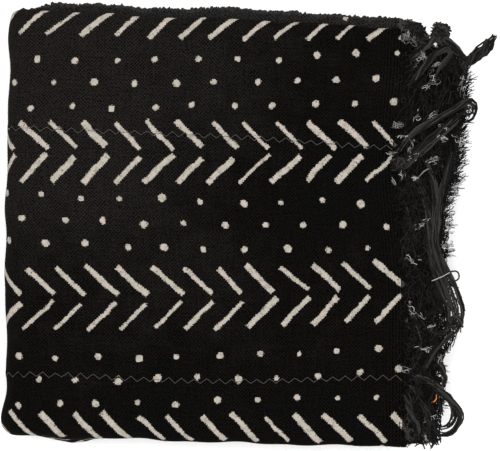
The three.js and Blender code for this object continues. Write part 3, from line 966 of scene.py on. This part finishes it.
GROUPS = dict(weave=handspun_weave(), dye=mud_dye(), marks=painted_marks())
PAINTED_FACE = cloth_finish("painted_face", GROUPS, paint_share=1.0)
PLAIN_REVERSE = cloth_finish("plain_reverse", GROUPS, paint_share=0.12)
SEAM_THREAD = thread_finish("seam_thread", GROUPS)
FRINGE_YARN = yarn_finish("fringe_yarn", YARN_BLACK, YARN_GREY, sheen=0.01)
SELVEDGE_YARN = yarn_finish("selvedge_yarn", SELVEDGE_BLACK, SELVEDGE_BLACK, sheen=0.01)
HANK_YARN = yarn_finish("hank_yarn", HANK_BLACK, HANK_GREY, sheen=0.01, roughness=0.5, gloss=0.05)
PALE_YARN = yarn_finish("pale_yarn", RAW_DARK, RAW_COTTON, sheen=0.05)
FLECK_YARN = yarn_finish("fleck_yarn", FLECK_ORANGE, FLECK_ORANGE, sheen=0.05)


# Strips of cloth

def end_to_end(upper, under, margin_steps):
    """The courses from the upper fringed end round the end fold to the under one, at lengths of the
    upper and the under half."""
    turns = np.linspace(0, pi, END_FOLD_STEPS + 1)[1:-1]
    margin = np.linspace(0, 1, margin_steps + 1)[1:]
    at = np.concatenate((upper, np.full(len(turns), ALONG.length), under, np.zeros(len(margin))))
    turn = np.concatenate((np.zeros(len(upper)), turns, np.full(len(under) + len(margin), pi)))
    past = np.concatenate((np.zeros(len(at) - len(margin)), margin))
    return dict(at=at, turn=turn, past=past, start=0.0)


def whole_length():
    upper = ALONG.stations((SEEN_STEP, HIDDEN_STEP, HIDDEN_STEP), FOLD_STEPS["upper"])
    under = ALONG.stations((HIDDEN_STEP, HIDDEN_STEP, HIDDEN_STEP), FOLD_STEPS["under"])[::-1]
    return end_to_end(upper, under, MARGIN_STEPS["cloth"])


def strip_spans():
    """Where each strip begins and ends across the cloth."""
    start = -SELVEDGE_REACH
    for width in STRIP_WIDTHS:
        yield start, start + width
        start += width + SEAM_GAP


def stations_between(start, end):
    """Stations across one strip, closer together at its edges."""
    marks = ACROSS.stations(ACROSS_STEPS, FOLD_STEPS["across"])
    inner = marks[(marks > start + HEM) & (marks < end - HEM)]
    hem = np.array(HEM_STEPS)
    return np.concatenate((start + hem, inner, end - hem[::-1]))


def sewn_lift(start, end):
    """The face of a strip, a little raised along its seams."""
    def lift(v):
        near = np.minimum(v - start, end - v)
        return CLOTH / 2 + SEAM_RIDGE["size"] * bump(near / SEAM_RIDGE["reach"])
    return lift


def make_strips():
    courses = whole_length()
    marks = [stations_between(start, end) for start, end in strip_spans()]
    down = chart_down(courses, np.concatenate(marks))
    down = np.split(down, np.cumsum([len(stations) for stations in marks])[:-1], axis=1)
    strips = []
    for k, (start, end) in enumerate(strip_spans(), 1):
        lift = sewn_lift(start, end)
        strip = sheet_object(f"cloth_strip_{k}", courses, marks[k - 1], lift, down[k - 1])
        strip.data.materials.append(PAINTED_FACE)
        strip.data.materials.append(PLAIN_REVERSE)
        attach(strip, "root")
        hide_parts(f"strip_{k}")
        strips.append(strip)
    return strips


# Yarn and thread that follow a path

class GeometryTree(ShaderTree):
    """Short forms for the geometry nodes."""

    def random(self, number, seed, low=0.0, high=1.0):
        made = self.node("FunctionNodeRandomValue", data_type="FLOAT")
        for key, value in (("Min", low), ("Max", high), ("ID", number), ("Seed", seed)):
            socket = next(s for s in made.inputs if s.name == key and s.enabled)
            self.put(socket, value)
        return next(s for s in made.outputs if s.enabled)

    def named(self, name, kind):
        made = self.node("GeometryNodeInputNamedAttribute", {"Name": name}, data_type=kind)
        return next(s for s in made.outputs if s.enabled and s.name == "Attribute")

    def finished(self, geometry, finish):
        """The geometry smooth, realized and in its finish."""
        smoothed = self.node("GeometryNodeSetShadeSmooth", {"Geometry": geometry}).outputs[0]
        real = self.node("GeometryNodeRealizeInstances", {"Geometry": smoothed}).outputs[0]
        return self.node("GeometryNodeSetMaterial", {"Geometry": real, "Material": finish}).outputs[0]

    def tube(self, curve, radius, sides, finish, girth=1.0):
        """The curve as a round strand in its finish."""
        profile = self.node("GeometryNodeCurvePrimitiveCircle", {"Resolution": sides, "Radius": radius})
        values = {"Curve": curve, "Profile Curve": profile.outputs[0], "Scale": girth, "Fill Caps": True}
        return self.finished(self.node("GeometryNodeCurveToMesh", values).outputs[0], finish)


def new_geometry_tree(name, floats, whole=()):
    """A Geometry Nodes tree with its input and output nodes. It takes guides, the named values and whole
    numbers, a seed and a finish."""
    group = bpy.data.node_groups.new(name, "GeometryNodeTree")
    kinds = {"Guides": "NodeSocketGeometry", "Seed": "NodeSocketInt", "Finish": "NodeSocketMaterial"}
    kinds.update({key: "NodeSocketFloat" for key in floats}, **{key: "NodeSocketInt" for key in whole})
    for key, kind in kinds.items():
        group.interface.new_socket(key, in_out="INPUT", socket_type=kind)
    group.interface.new_socket("Result", in_out="OUTPUT", socket_type="NodeSocketGeometry")
    tree = GeometryTree(group)
    return tree, tree.node("NodeGroupInput").outputs, tree.node("NodeGroupOutput")


def spun_yarn_tree():
    """Bundles of yarn along guides: each guide becomes several strands that twist and wander."""
    floats = ("Ply", "Radius", "Flatness", "Twist", "Wander", "Ripple", "Fray")
    t, given, result = new_geometry_tree("spun_yarn", floats, ("Points", "Sides"))
    seed = given["Seed"]

    def draw(number, turn, low=0.0, high=1.0):
        return t.random(number, t.add(seed, turn), low, high)

    curve = t.node("GeometryNodeMeshToCurve", {"Mesh": given["Guides"]}).outputs[0]
    curve = t.node("GeometryNodeCurveSplineType", {"Curve": curve}, spline_type="CATMULL_ROM").outputs[0]
    curve = t.node("GeometryNodeResampleCurve", {"Curve": curve, "Count": given["Points"]}).outputs[0]
    values = {"Geometry": curve, "Amount": t.named("strands", "FLOAT")}
    copies = t.node("GeometryNodeDuplicateElements", values, domain="SPLINE").outputs[0]
    number = t.node("GeometryNodeInputIndex").outputs[0]
    reached = t.subtract(1.0, t.multiply(draw(number, 3.0), given["Fray"]))
    begun = t.multiply(draw(number, 0.0), given["Fray"])
    values = {"Curve": copies, "Start": t.multiply(begun, 0.5), "End": reached}
    copies = t.node("GeometryNodeTrimCurve", values).outputs[0]
    index = t.node("GeometryNodeCurveOfPoint").outputs["Curve Index"]
    factor = t.node("GeometryNodeSplineParameter").outputs["Factor"]
    ply = t.math("FLOOR", t.math("DIVIDE", index, given["Ply"]))
    angle = t.multiply(draw(ply, 0.0), 2 * pi)
    angle = t.add(angle, draw(index, 5.0, -0.5, 0.5))
    angle = t.add(angle, t.multiply(factor, given["Twist"]))
    out = t.multiply(t.math("SQRT", draw(index, 1.0)), t.named("spread", "FLOAT"))
    tangent = t.node("GeometryNodeInputTangent").outputs[0]
    level = t.vector("NORMALIZE", t.vector("CROSS_PRODUCT", tangent, (0.0, 0.0, 1.0)))
    sideways = t.scaled(level, t.multiply(t.math("COSINE", angle), out))
    rise = t.multiply(t.multiply(t.math("SINE", angle), out), given["Flatness"])
    offset = t.vector("ADD", sideways, t.joined(0.0, 0.0, rise))
    run = t.multiply(factor, given["Ripple"])
    drift = (0.0, 0.0, 0.0)
    for number, share in ((index, 0.55), (ply, 1.0)):
        place = t.joined(run, t.multiply(number, 3.17), t.add(seed, share))
        drift = t.vector("MULTIPLY_ADD", t.stray(place, 1.0), (share, share, 0.45 * share), drift)
    held = t.math("MINIMUM", t.multiply(factor, 4.0), 1.0)
    offset = t.vector("ADD", offset, t.scaled(drift, t.multiply(held, given["Wander"])))
    moved = t.node("GeometryNodeSetPosition", {"Geometry": copies, "Offset": offset}).outputs[0]
    values = {"Geometry": moved, "Name": "strand", "Value": draw(index, 2.0)}
    stored = t.node("GeometryNodeStoreNamedAttribute", values, data_type="FLOAT", domain="POINT")
    girth = draw(index, 4.0, 0.6, 1.4)
    strands = t.tube(stored.outputs[0], given["Radius"], given["Sides"], given["Finish"], girth)
    t.put(result.inputs[0], strands)
    return t.tree


def weft_turn_tree():
    """Small lumps at even steps along guides, where the weft turns back at a selvedge."""
    t, given, result = new_geometry_tree("weft_turns", ("Step", "Size"))
    curve = t.node("GeometryNodeMeshToCurve", {"Mesh": given["Guides"]}).outputs[0]
    values = {"Curve": curve, "Length": given["Step"]}
    places = t.node("GeometryNodeResampleCurve", values, mode="LENGTH").outputs[0]
    lump = t.node("GeometryNodeMeshIcoSphere", {"Radius": given["Size"], "Subdivisions": 1}).outputs[0]
    index = t.node("GeometryNodeInputIndex").outputs[0]
    seed = given["Seed"]
    sizes = [t.random(index, t.add(seed, float(k)), 0.5, 1.5) for k in range(3)]
    aside = [t.random(index, t.add(seed, 5.0 + k), -TURN_STRAY, TURN_STRAY) for k in range(3)]
    values = {"Geometry": places, "Offset": t.joined(*aside)}
    places = t.node("GeometryNodeSetPosition", values).outputs[0]
    values = {"Points": places, "Instance": lump, "Scale": t.joined(*sizes)}
    lumps = t.node("GeometryNodeInstanceOnPoints", values).outputs[0]
    t.put(result.inputs[0], t.finished(lumps, given["Finish"]))
    return t.tree


def zigzag_tree():
    """A zigzag thread along guides that lie on a seam and carry the cloth's outward direction."""
    t, given, result = new_geometry_tree("zigzag_seam", ("Half Stitch", "Swing", "Radius"))
    curve = t.node("GeometryNodeMeshToCurve", {"Mesh": given["Guides"]}).outputs[0]
    values = {"Curve": curve, "Length": given["Half Stitch"]}
    places = t.node("GeometryNodeResampleCurve", values, mode="LENGTH").outputs[0]
    index = t.node("GeometryNodeInputIndex").outputs[0]
    turn = t.subtract(t.multiply(t.math("MODULO", index, 2.0), 2.0), 1.0)
    uneven = t.random(index, given["Seed"], 0.7, 1.3)
    tangent = t.node("GeometryNodeInputTangent").outputs[0]
    outward = t.named("outward", "FLOAT_VECTOR")
    aside = t.vector("NORMALIZE", t.vector("CROSS_PRODUCT", tangent, outward))
    offset = t.scaled(aside, t.multiply(t.multiply(turn, uneven), given["Swing"]))
    moved = t.node("GeometryNodeSetPosition", {"Geometry": places, "Offset": offset}).outputs[0]
    t.put(result.inputs[0], t.tube(moved, given["Radius"], 5, given["Finish"]))
    return t.tree


def guide_object(name, lines, **attributes):
    """A mesh of open lines with attributes on its points, each given as one array for each line."""
    points = np.concatenate(lines)
    starts = np.cumsum([0] + [len(line) for line in lines])
    edges = [(i, i + 1) for a, b in zip(starts[:-1], starts[1:]) for i in range(a, b - 1)]
    guide = new_object(name, points, (), edges)
    for key, values in attributes.items():
        values = np.concatenate(values).astype(np.float32)
        kind, field = ("FLOAT_VECTOR", "vector") if values.ndim == 2 else ("FLOAT", "value")
        guide.data.attributes.new(key, kind, "POINT").data.foreach_set(field, values.ravel())
    return guide


def grown(name, guide, tree, values):
    """The guide run through a tree, as a plain mesh object at the origin. The guide is removed."""
    modifier = guide.modifiers.new("grow", "NODES")
    modifier.node_group = tree
    for item in tree.interface.items_tree:
        if item.item_type == "SOCKET" and item.in_out == "INPUT" and item.name in values:
            modifier[item.identifier] = values[item.name]
    depsgraph = bpy.context.evaluated_depsgraph_get()
    mesh = bpy.data.meshes.new_from_object(guide.evaluated_get(depsgraph))
    mesh.name = name
    guide.modifiers.remove(modifier)
    bpy.data.objects.remove(guide)
    piece = bpy.data.objects.new(name, mesh)
    bpy.context.scene.collection.objects.link(piece)
    return piece


# Seams

def make_seams():
    """The zigzag thread of each seam, on the painted side of the cloth from end to end."""
    tree = zigzag_tree()
    half = np.linspace(0, ALONG.length, SEAM_STEPS)
    courses = end_to_end(half, half[::-1], MARGIN_STEPS["seam"])
    spans = list(strip_spans())
    lift = CLOTH / 2 + SEAM_RIDGE["size"] + 0.4 * THREAD_RADIUS
    between = [end + SEAM_GAP / 2 for _, end in spans[:-1]]
    stations = np.sort(np.concatenate([stations_between(*span) for span in spans] + [between]))
    down = chart_down(courses, stations)
    seams = []
    for k, place in enumerate(between, 1):
        line = cloth_grid(courses, [place], lift)[:, 0]
        along = UPPER_END - run_lengths(line[:, None], 0)[:, 0]
        chart = (along, down[:, np.searchsorted(stations, place)], np.zeros(len(along)))
        chart = np.stack(chart, axis=-1)
        outward = line - cloth_grid(courses, [place], 0.0)[:, 0]
        outward /= np.linalg.norm(outward, axis=1)[:, None]
        line[:, 2] = np.maximum(line[:, 2], LOWEST_THREAD)
        guide = guide_object(f"seam_guide_{k}", [line], outward=[outward], chart=[chart])
        values = {"Half Stitch": STITCH_HALF, "Swing": STITCH_SWING, "Radius": THREAD_RADIUS}
        seam = grown(f"zigzag_seam_{k}", guide, tree, dict(values, Seed=k, Finish=SEAM_THREAD))
        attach(seam, "root")
        seams.append(seam)
    return seams


def make_selvedges():
    """The lumpy weft turns along the two outer edges of the cloth."""
    tree = weft_turn_tree()
    courses = whole_length()
    spans = list(strip_spans())
    edges = (("near", spans[0][0] - TURN_AWAY), ("far", spans[-1][1] + TURN_AWAY))
    selvedges = []
    for k, (name, place) in enumerate(edges):
        line = cloth_grid(courses, [place], 0.0)[:, 0]
        line[:, 2] = np.maximum(line[:, 2], LOWEST_TURN)
        guide = guide_object(f"{name}_selvedge_guide", [line])
        values = dict(WEFT_TURNS, Seed=TURN_SEED + k, Finish=SELVEDGE_YARN)
        turns = grown(f"{name}_selvedge_turns", guide, tree, values)
        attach(turns, "root")
        selvedges.append(turns)
    return selvedges


# Fringe

def end_height(lie, half):
    """Height of the ideal cloth at its fringed end. half is 1 for the upper end, -1 for the under."""
    side = -1 if lie % 2 else 1
    return PILE_MIDDLE + (ALONG_LIES[0][0] + ACROSS_LIES[lie][0] + side * half / 2) * PITCH


def sag_past_edge(x):
    """How far yarn hangs down past the edge of the pile."""
    return SAG * (np.maximum(0, x - SAG_FROM) / SAG_RUN) ** 2


def bundle(line, spread, strands=1):
    """A route of yarn, the half width of its bundle along it and its number of strands."""
    return dict(line=line, spread=spread, strands=np.full(len(line), strands))


def drawn_in(x, low, high):
    """Places with what lies past the limits drawn in towards them."""
    inside = np.clip(x, low, high)
    return inside + PAST_LIMIT_SHARE * (x - inside)


def lock_line(x, y, z, lock, points=8):
    """The bundle of a lock that leaves x, y, z of the ideal pile."""
    s = np.linspace(0, 1, points)
    heading = np.radians(lock["lean"] + lock.get("curl", 0) * s)
    step = lock["length"] * MM / (points - 1)
    px = x + np.concatenate(([0], np.cumsum(np.cos(heading[1:]) * step)))
    py = y + np.concatenate(([0], np.cumsum(np.sin(heading[1:]) * step)))
    if "within" in lock:
        py = drawn_in(py, *FRINGE_ENDS)
        low, high = lock["within"](py)
        px = drawn_in(px, ROOT_X + low, ROOT_X + high)
    rise = lock.get("lift", 0) * MM * np.sin(pi * s**0.8)
    spread = lock["width"] * MM / 2 * (0.55 + s - 1.05 * s * s)
    return bundle(settle(px, py, z + rise - sag_past_edge(px)), spread, lock.get("strands", 1))


def laid_line(path, lift, width, strands=1):
    """A bundle laid over the fringe through places in plan."""
    x, y = np.array(path).T * MM
    s = np.linspace(0, 1, len(x))
    end = ROOT_X + BACKING / 2 - DRAWN_END["size"] * bump((y - DRAWN_END["y"]) / DRAWN_END["reach"])
    step_up = PITCH * (1 - smooth(x - end, -1 * MM, 5 * MM))
    top = (end_height(2, -1) + CLOTH / 2 + step_up) * (1 - WEDGE * x / UPPER_END)
    rise = lift * MM * (0.35 + 0.65 * np.sin(pi * s) ** 0.6)
    spread = width * MM / 2 * (0.65 + 1.2 * s * (1 - s))
    line = np.stack((x, y, top + rise - sag_past_edge(x)), axis=-1) + FRAME_SHIFT
    return bundle(line, spread, strands)


def row_locks(row, root_at, z):
    """The bundles of a row of locks, as the solids have them. root_at gives x over y."""
    span = FACE_SPAN - 2 * ROW_MARGIN
    for k in range(row["locks"]):
        y = ((k + 0.5) / row["locks"] - 0.5) * span
        lean = row["lean"] + row["sway"] * np.sin(1.7 * k + row["lie"])
        length = row["length"] * (1 + 0.12 * np.sin(2.9 * k))
        lock = dict(lean=lean, length=length, width=1.6 * row["width"], strands=ROW_STRANDS)
        yield lock_line(root_at(y), y, z, lock)


def loose_lines(rng, out, within, count, lean, curl, length, height, points=8, lowest=-FACE_SPAN / 2):
    """Loose yarns. out and within give over y how far past the upper end they start and how far they
    spread; lean, curl, length and height above the under end are each a low and a high limit."""
    base = end_height(2, -1) + CLOTH / 2
    lines = []
    for _ in range(count):
        y = rng.uniform(lowest + 2 * MM, FACE_SPAN / 2 - ROW_MARGIN)
        lock = dict(lean=rng.uniform(*lean), curl=rng.uniform(*curl), length=rng.uniform(*length))
        lock.update(width=0.4, lift=rng.uniform(0, 0.8), within=within)
        z = base + rng.uniform(*height) * MM
        lines.append(lock_line(ROOT_X + rng.uniform(*out(y)), y, z, lock, points))
    return lines


def curled_lines(rng, places, points, length, bend, stretch=1.0):
    """Yarns curled up in lumps or tufts, stretched in plan one way or another. Each place has x, y,
    reach, number of curls and height."""
    lines = []
    for x, y, reach, curls, height in places:
        centre = np.array((x, y))
        lean = rng.uniform(0, pi)
        way = np.array((np.cos(lean), np.sin(lean)))
        for _ in range(curls):
            turns = np.cumsum(rng.normal(0, bend, points)) + np.linspace(0, rng.uniform(-3, 3), points)
            heading = rng.uniform(-pi, pi) + turns
            step = rng.uniform(*length) / (points - 1)
            path = np.cumsum(np.stack((np.cos(heading), np.sin(heading)), axis=-1) * step, axis=0)
            path = path - path.mean(axis=0) + rng.normal(0, 0.4 * reach, 2)
            far = np.linalg.norm(path, axis=1)[:, None] / (reach * rng.uniform(0.7, 1.25))
            path = path / np.sqrt(1 + far**2)
            path = path + (stretch - 1) * (path @ way)[:, None] * way
            lift = height * rng.uniform(0.4, 1.0)
            lines.append(laid_line(centre + path, lift, SINGLE_YARN))
    return lines


def end_band(name, under_end):
    """The narrow woven band that the locks of one end grow from."""
    marks = [stations_between(start, end) for start, end in strip_spans()]
    stations = np.unique(np.concatenate(marks))
    at = np.array((-FRINGE_GAP - BACKING, -FRINGE_GAP))
    courses = dict(at=at, turn=np.zeros(2), past=np.zeros(2), start=at[0])
    if under_end:
        courses = dict(at=at[::-1], turn=np.full(2, pi), past=np.ones(2), start=2 * ALONG.length)
    flat = np.full(stations.shape, CLOTH / 2)
    band = sheet_object(name, courses, stations, lambda v: flat, chart_down(courses, stations))
    band.data.materials.append(PLAIN_REVERSE)
    band.data.materials.append(PLAIN_REVERSE)
    return band


def grow_bundles(name, tree, bundles, finish, seed, **values):
    """The bundles spun into strands, in their finish."""
    spreads = [b["spread"] for b in bundles]
    strands = [b["strands"] for b in bundles]
    guide = guide_object(f"{name}_guide", [b["line"] for b in bundles], spread=spreads, strands=strands)
    usual = dict(Points=9, Ply=1.0, Radius=YARN_RADIUS, Sides=4, Flatness=0.5, Twist=0.0)
    usual.update(Wander=1 * MM, Ripple=3.0, Fray=0.0, Seed=seed, Finish=finish)
    return grown(name, guide, tree, dict(usual, **values))


def loose_edge(y):
    """How far past the upper end the thick of the loose yarn reaches."""
    heights, reaches = np.array(LOOSE_EDGE).T * MM
    return np.interp(y, heights, reaches)


def upper_bundles(rng):
    """The bundles of the upper fringe, each with its finish and how its strands run."""
    at_end = lambda y: (-2.5 * MM, 7 * MM)
    near_end = lambda y: (-3.5 * MM, 14 * MM)
    over_margin = lambda y: (2 * MM, loose_edge(y) - 3 * MM)
    to_edge = lambda y: (0.5 * MM, loose_edge(y) + 0.5 * MM)
    hanks = [laid_line(h["path"], h["lift"], h["width"], h["strands"]) for h in HANKS]
    inner = [b for row in UPPER_ROWS for b in row_locks(row, lambda y: ROOT_X, end_height(row["lie"], 1))]
    lumps = curled_lines(rng, YARN_LUMPS, **LUMP_CURLS) + [laid_line(YARN_LOOP, LOOP_LIFT, SINGLE_YARN)]
    places = []
    for px, py, reach, curls in PALE_TUFTS:
        size = TUFT["reach"] * round(reach * PIXEL, 1)
        places.append((*on_photo(px, py), size, round(TUFT["curls"] * curls), TUFT["height"]))
    tufts = curled_lines(rng, places, **TUFT_CURLS)
    threads = [laid_line(WRAPPED_YARN, LOOP_LIFT, SINGLE_YARN)]
    threads.append(laid_line(PALE_THREAD, PALE_LIFT, SINGLE_YARN))
    covering = loose_lines(rng, over_margin, to_edge, **COVERING)
    thrums = loose_lines(rng, at_end, near_end, **THRUMS)
    curls = loose_lines(rng, over_margin, to_edge, **CURLS)
    fine = dict(Points=8, Radius=0.2 * MM, Sides=3)
    drawn = dict(Radius=0.45 * MM, Ripple=4.0)
    twisted = dict(drawn, Points=26, Sides=5, Ply=3.0, Twist=4.0, Fray=0.4, Wander=2.7 * MM)
    return dict(
        hanks=(hanks, HANK_YARN, twisted),
        lumps=(lumps, HANK_YARN, dict(drawn, Points=20, Wander=0.8 * MM)),
        inner=(inner, FRINGE_YARN, dict(Radius=0.22 * MM, Flatness=0.12, Fray=0.4, Wander=2 * MM)),
        covering=(covering, FRINGE_YARN, dict(Points=11, Radius=0.36 * MM, Sides=3, Wander=3 * MM)),
        thrums=(thrums, FRINGE_YARN, fine),
        curls=(curls, FRINGE_YARN, fine),
        tufts=(tufts, PALE_YARN, dict(Points=9, Radius=0.18 * MM, Sides=3, Wander=0.4 * MM)),
        threads=(threads, PALE_YARN, dict(Points=16, Radius=0.3 * MM, Wander=0.5 * MM)),
        fleck=([laid_line(ORANGE_FLECK, **FLECK)], FLECK_YARN, dict(Radius=0.25 * MM)),
    )


def under_bundles(rng):
    """The bundles of the under fringe, each with its finish and how its strands run."""
    at_edge = lambda y: (under_reach(y) - 2 * MM, under_reach(y) + 1 * MM)
    past_edge = lambda y: (0.0, under_reach(y) + np.where(y > 10 * MM, 14 * MM, 5 * MM))
    root = lambda y: ROOT_X + under_reach(y)
    ends = [b for row in UNDER_ROWS for b in row_locks(row, root, end_height(row["lie"], -1))]
    bristles = loose_lines(rng, at_edge, past_edge, **BRISTLES)
    bristles += loose_lines(rng, at_edge, past_edge, **LONG_BRISTLES)
    short = dict(Radius=0.17 * MM, Sides=3)
    return dict(
        ends=(ends, FRINGE_YARN, dict(short, Points=7, Flatness=0.15, Fray=0.75, Wander=1.2 * MM)),
        bristles=(bristles, FRINGE_YARN, dict(short, Points=7, Radius=0.23 * MM)),
    )


def make_fringe():
    tree = spun_yarn_tree()
    rng = np.random.default_rng(FRINGE_SEED)
    bands = [end_band("end_band_upper", False), end_band("end_band_under", True)]
    pieces = list(bands)
    for end, kinds in (("upper", upper_bundles(rng)), ("under", under_bundles(rng))):
        for k, (kind, (bundles, finish, values)) in enumerate(kinds.items()):
            piece = grow_bundles(f"fringe_{kind}", tree, bundles, finish, YARN_SEED + k, **values)
            if k == 0:
                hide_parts(f"fringe_{end}")
            pieces.append(piece)
    for piece in pieces:
        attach(piece, "root")
    return pieces


# Setting

def make_floor():
    size = FLOOR_HALF
    corners = [(-size, -size, 0), (size, -size, 0), (size, size, 0), (-size, size, 0)]
    floor = new_object("floor", corners, [(0, 1, 2, 3)])
    material, _, shader = new_finish("floor_white", roughness=0.9, sheen=0.0)
    shader.inputs["Base Color"].default_value = FLOOR_WHITE
    floor.data.materials.append(material)


def make_light(name, place, size, power):
    light = bpy.data.lights.new(name, "AREA")
    light.shape = "DISK"
    light.size = size
    light.energy = power
    lamp = bpy.data.objects.new(name, light)
    lamp.location = place
    lamp.rotation_euler = (-Vector(place)).to_track_quat("-Z", "Y").to_euler()
    bpy.context.scene.collection.objects.link(lamp)


def make_camera():
    camera = bpy.data.cameras.new("overhead")
    camera.lens = LENS
    camera.sensor_width = SENSOR
    camera.sensor_fit = "HORIZONTAL"
    view = bpy.data.objects.new("overhead", camera)
    height = PILE_HEIGHT + PHOTO_WIDTH * LENS / SENSOR
    view.location = Vector(VIEW_CENTRE + FRAME_SHIFT) + Vector((0, 0, height))
    bpy.context.scene.collection.objects.link(view)
    bpy.context.scene.camera = view


def make_setting():
    scene = bpy.context.scene
    world = bpy.data.worlds.new("studio")
    scene.world = world
    world.use_nodes = True
    background = world.node_tree.nodes["Background"]
    background.inputs["Color"].default_value = (1, 1, 1, 1)
    background.inputs["Strength"].default_value = SKY_STRENGTH
    for light in LIGHTS:
        make_light(**light)
    scene.view_settings.view_transform = "Standard"
    make_floor()
    make_camera()


strips = make_strips()
seams = make_seams()
selvedges = make_selvedges()
fringe = make_fringe()
make_setting()
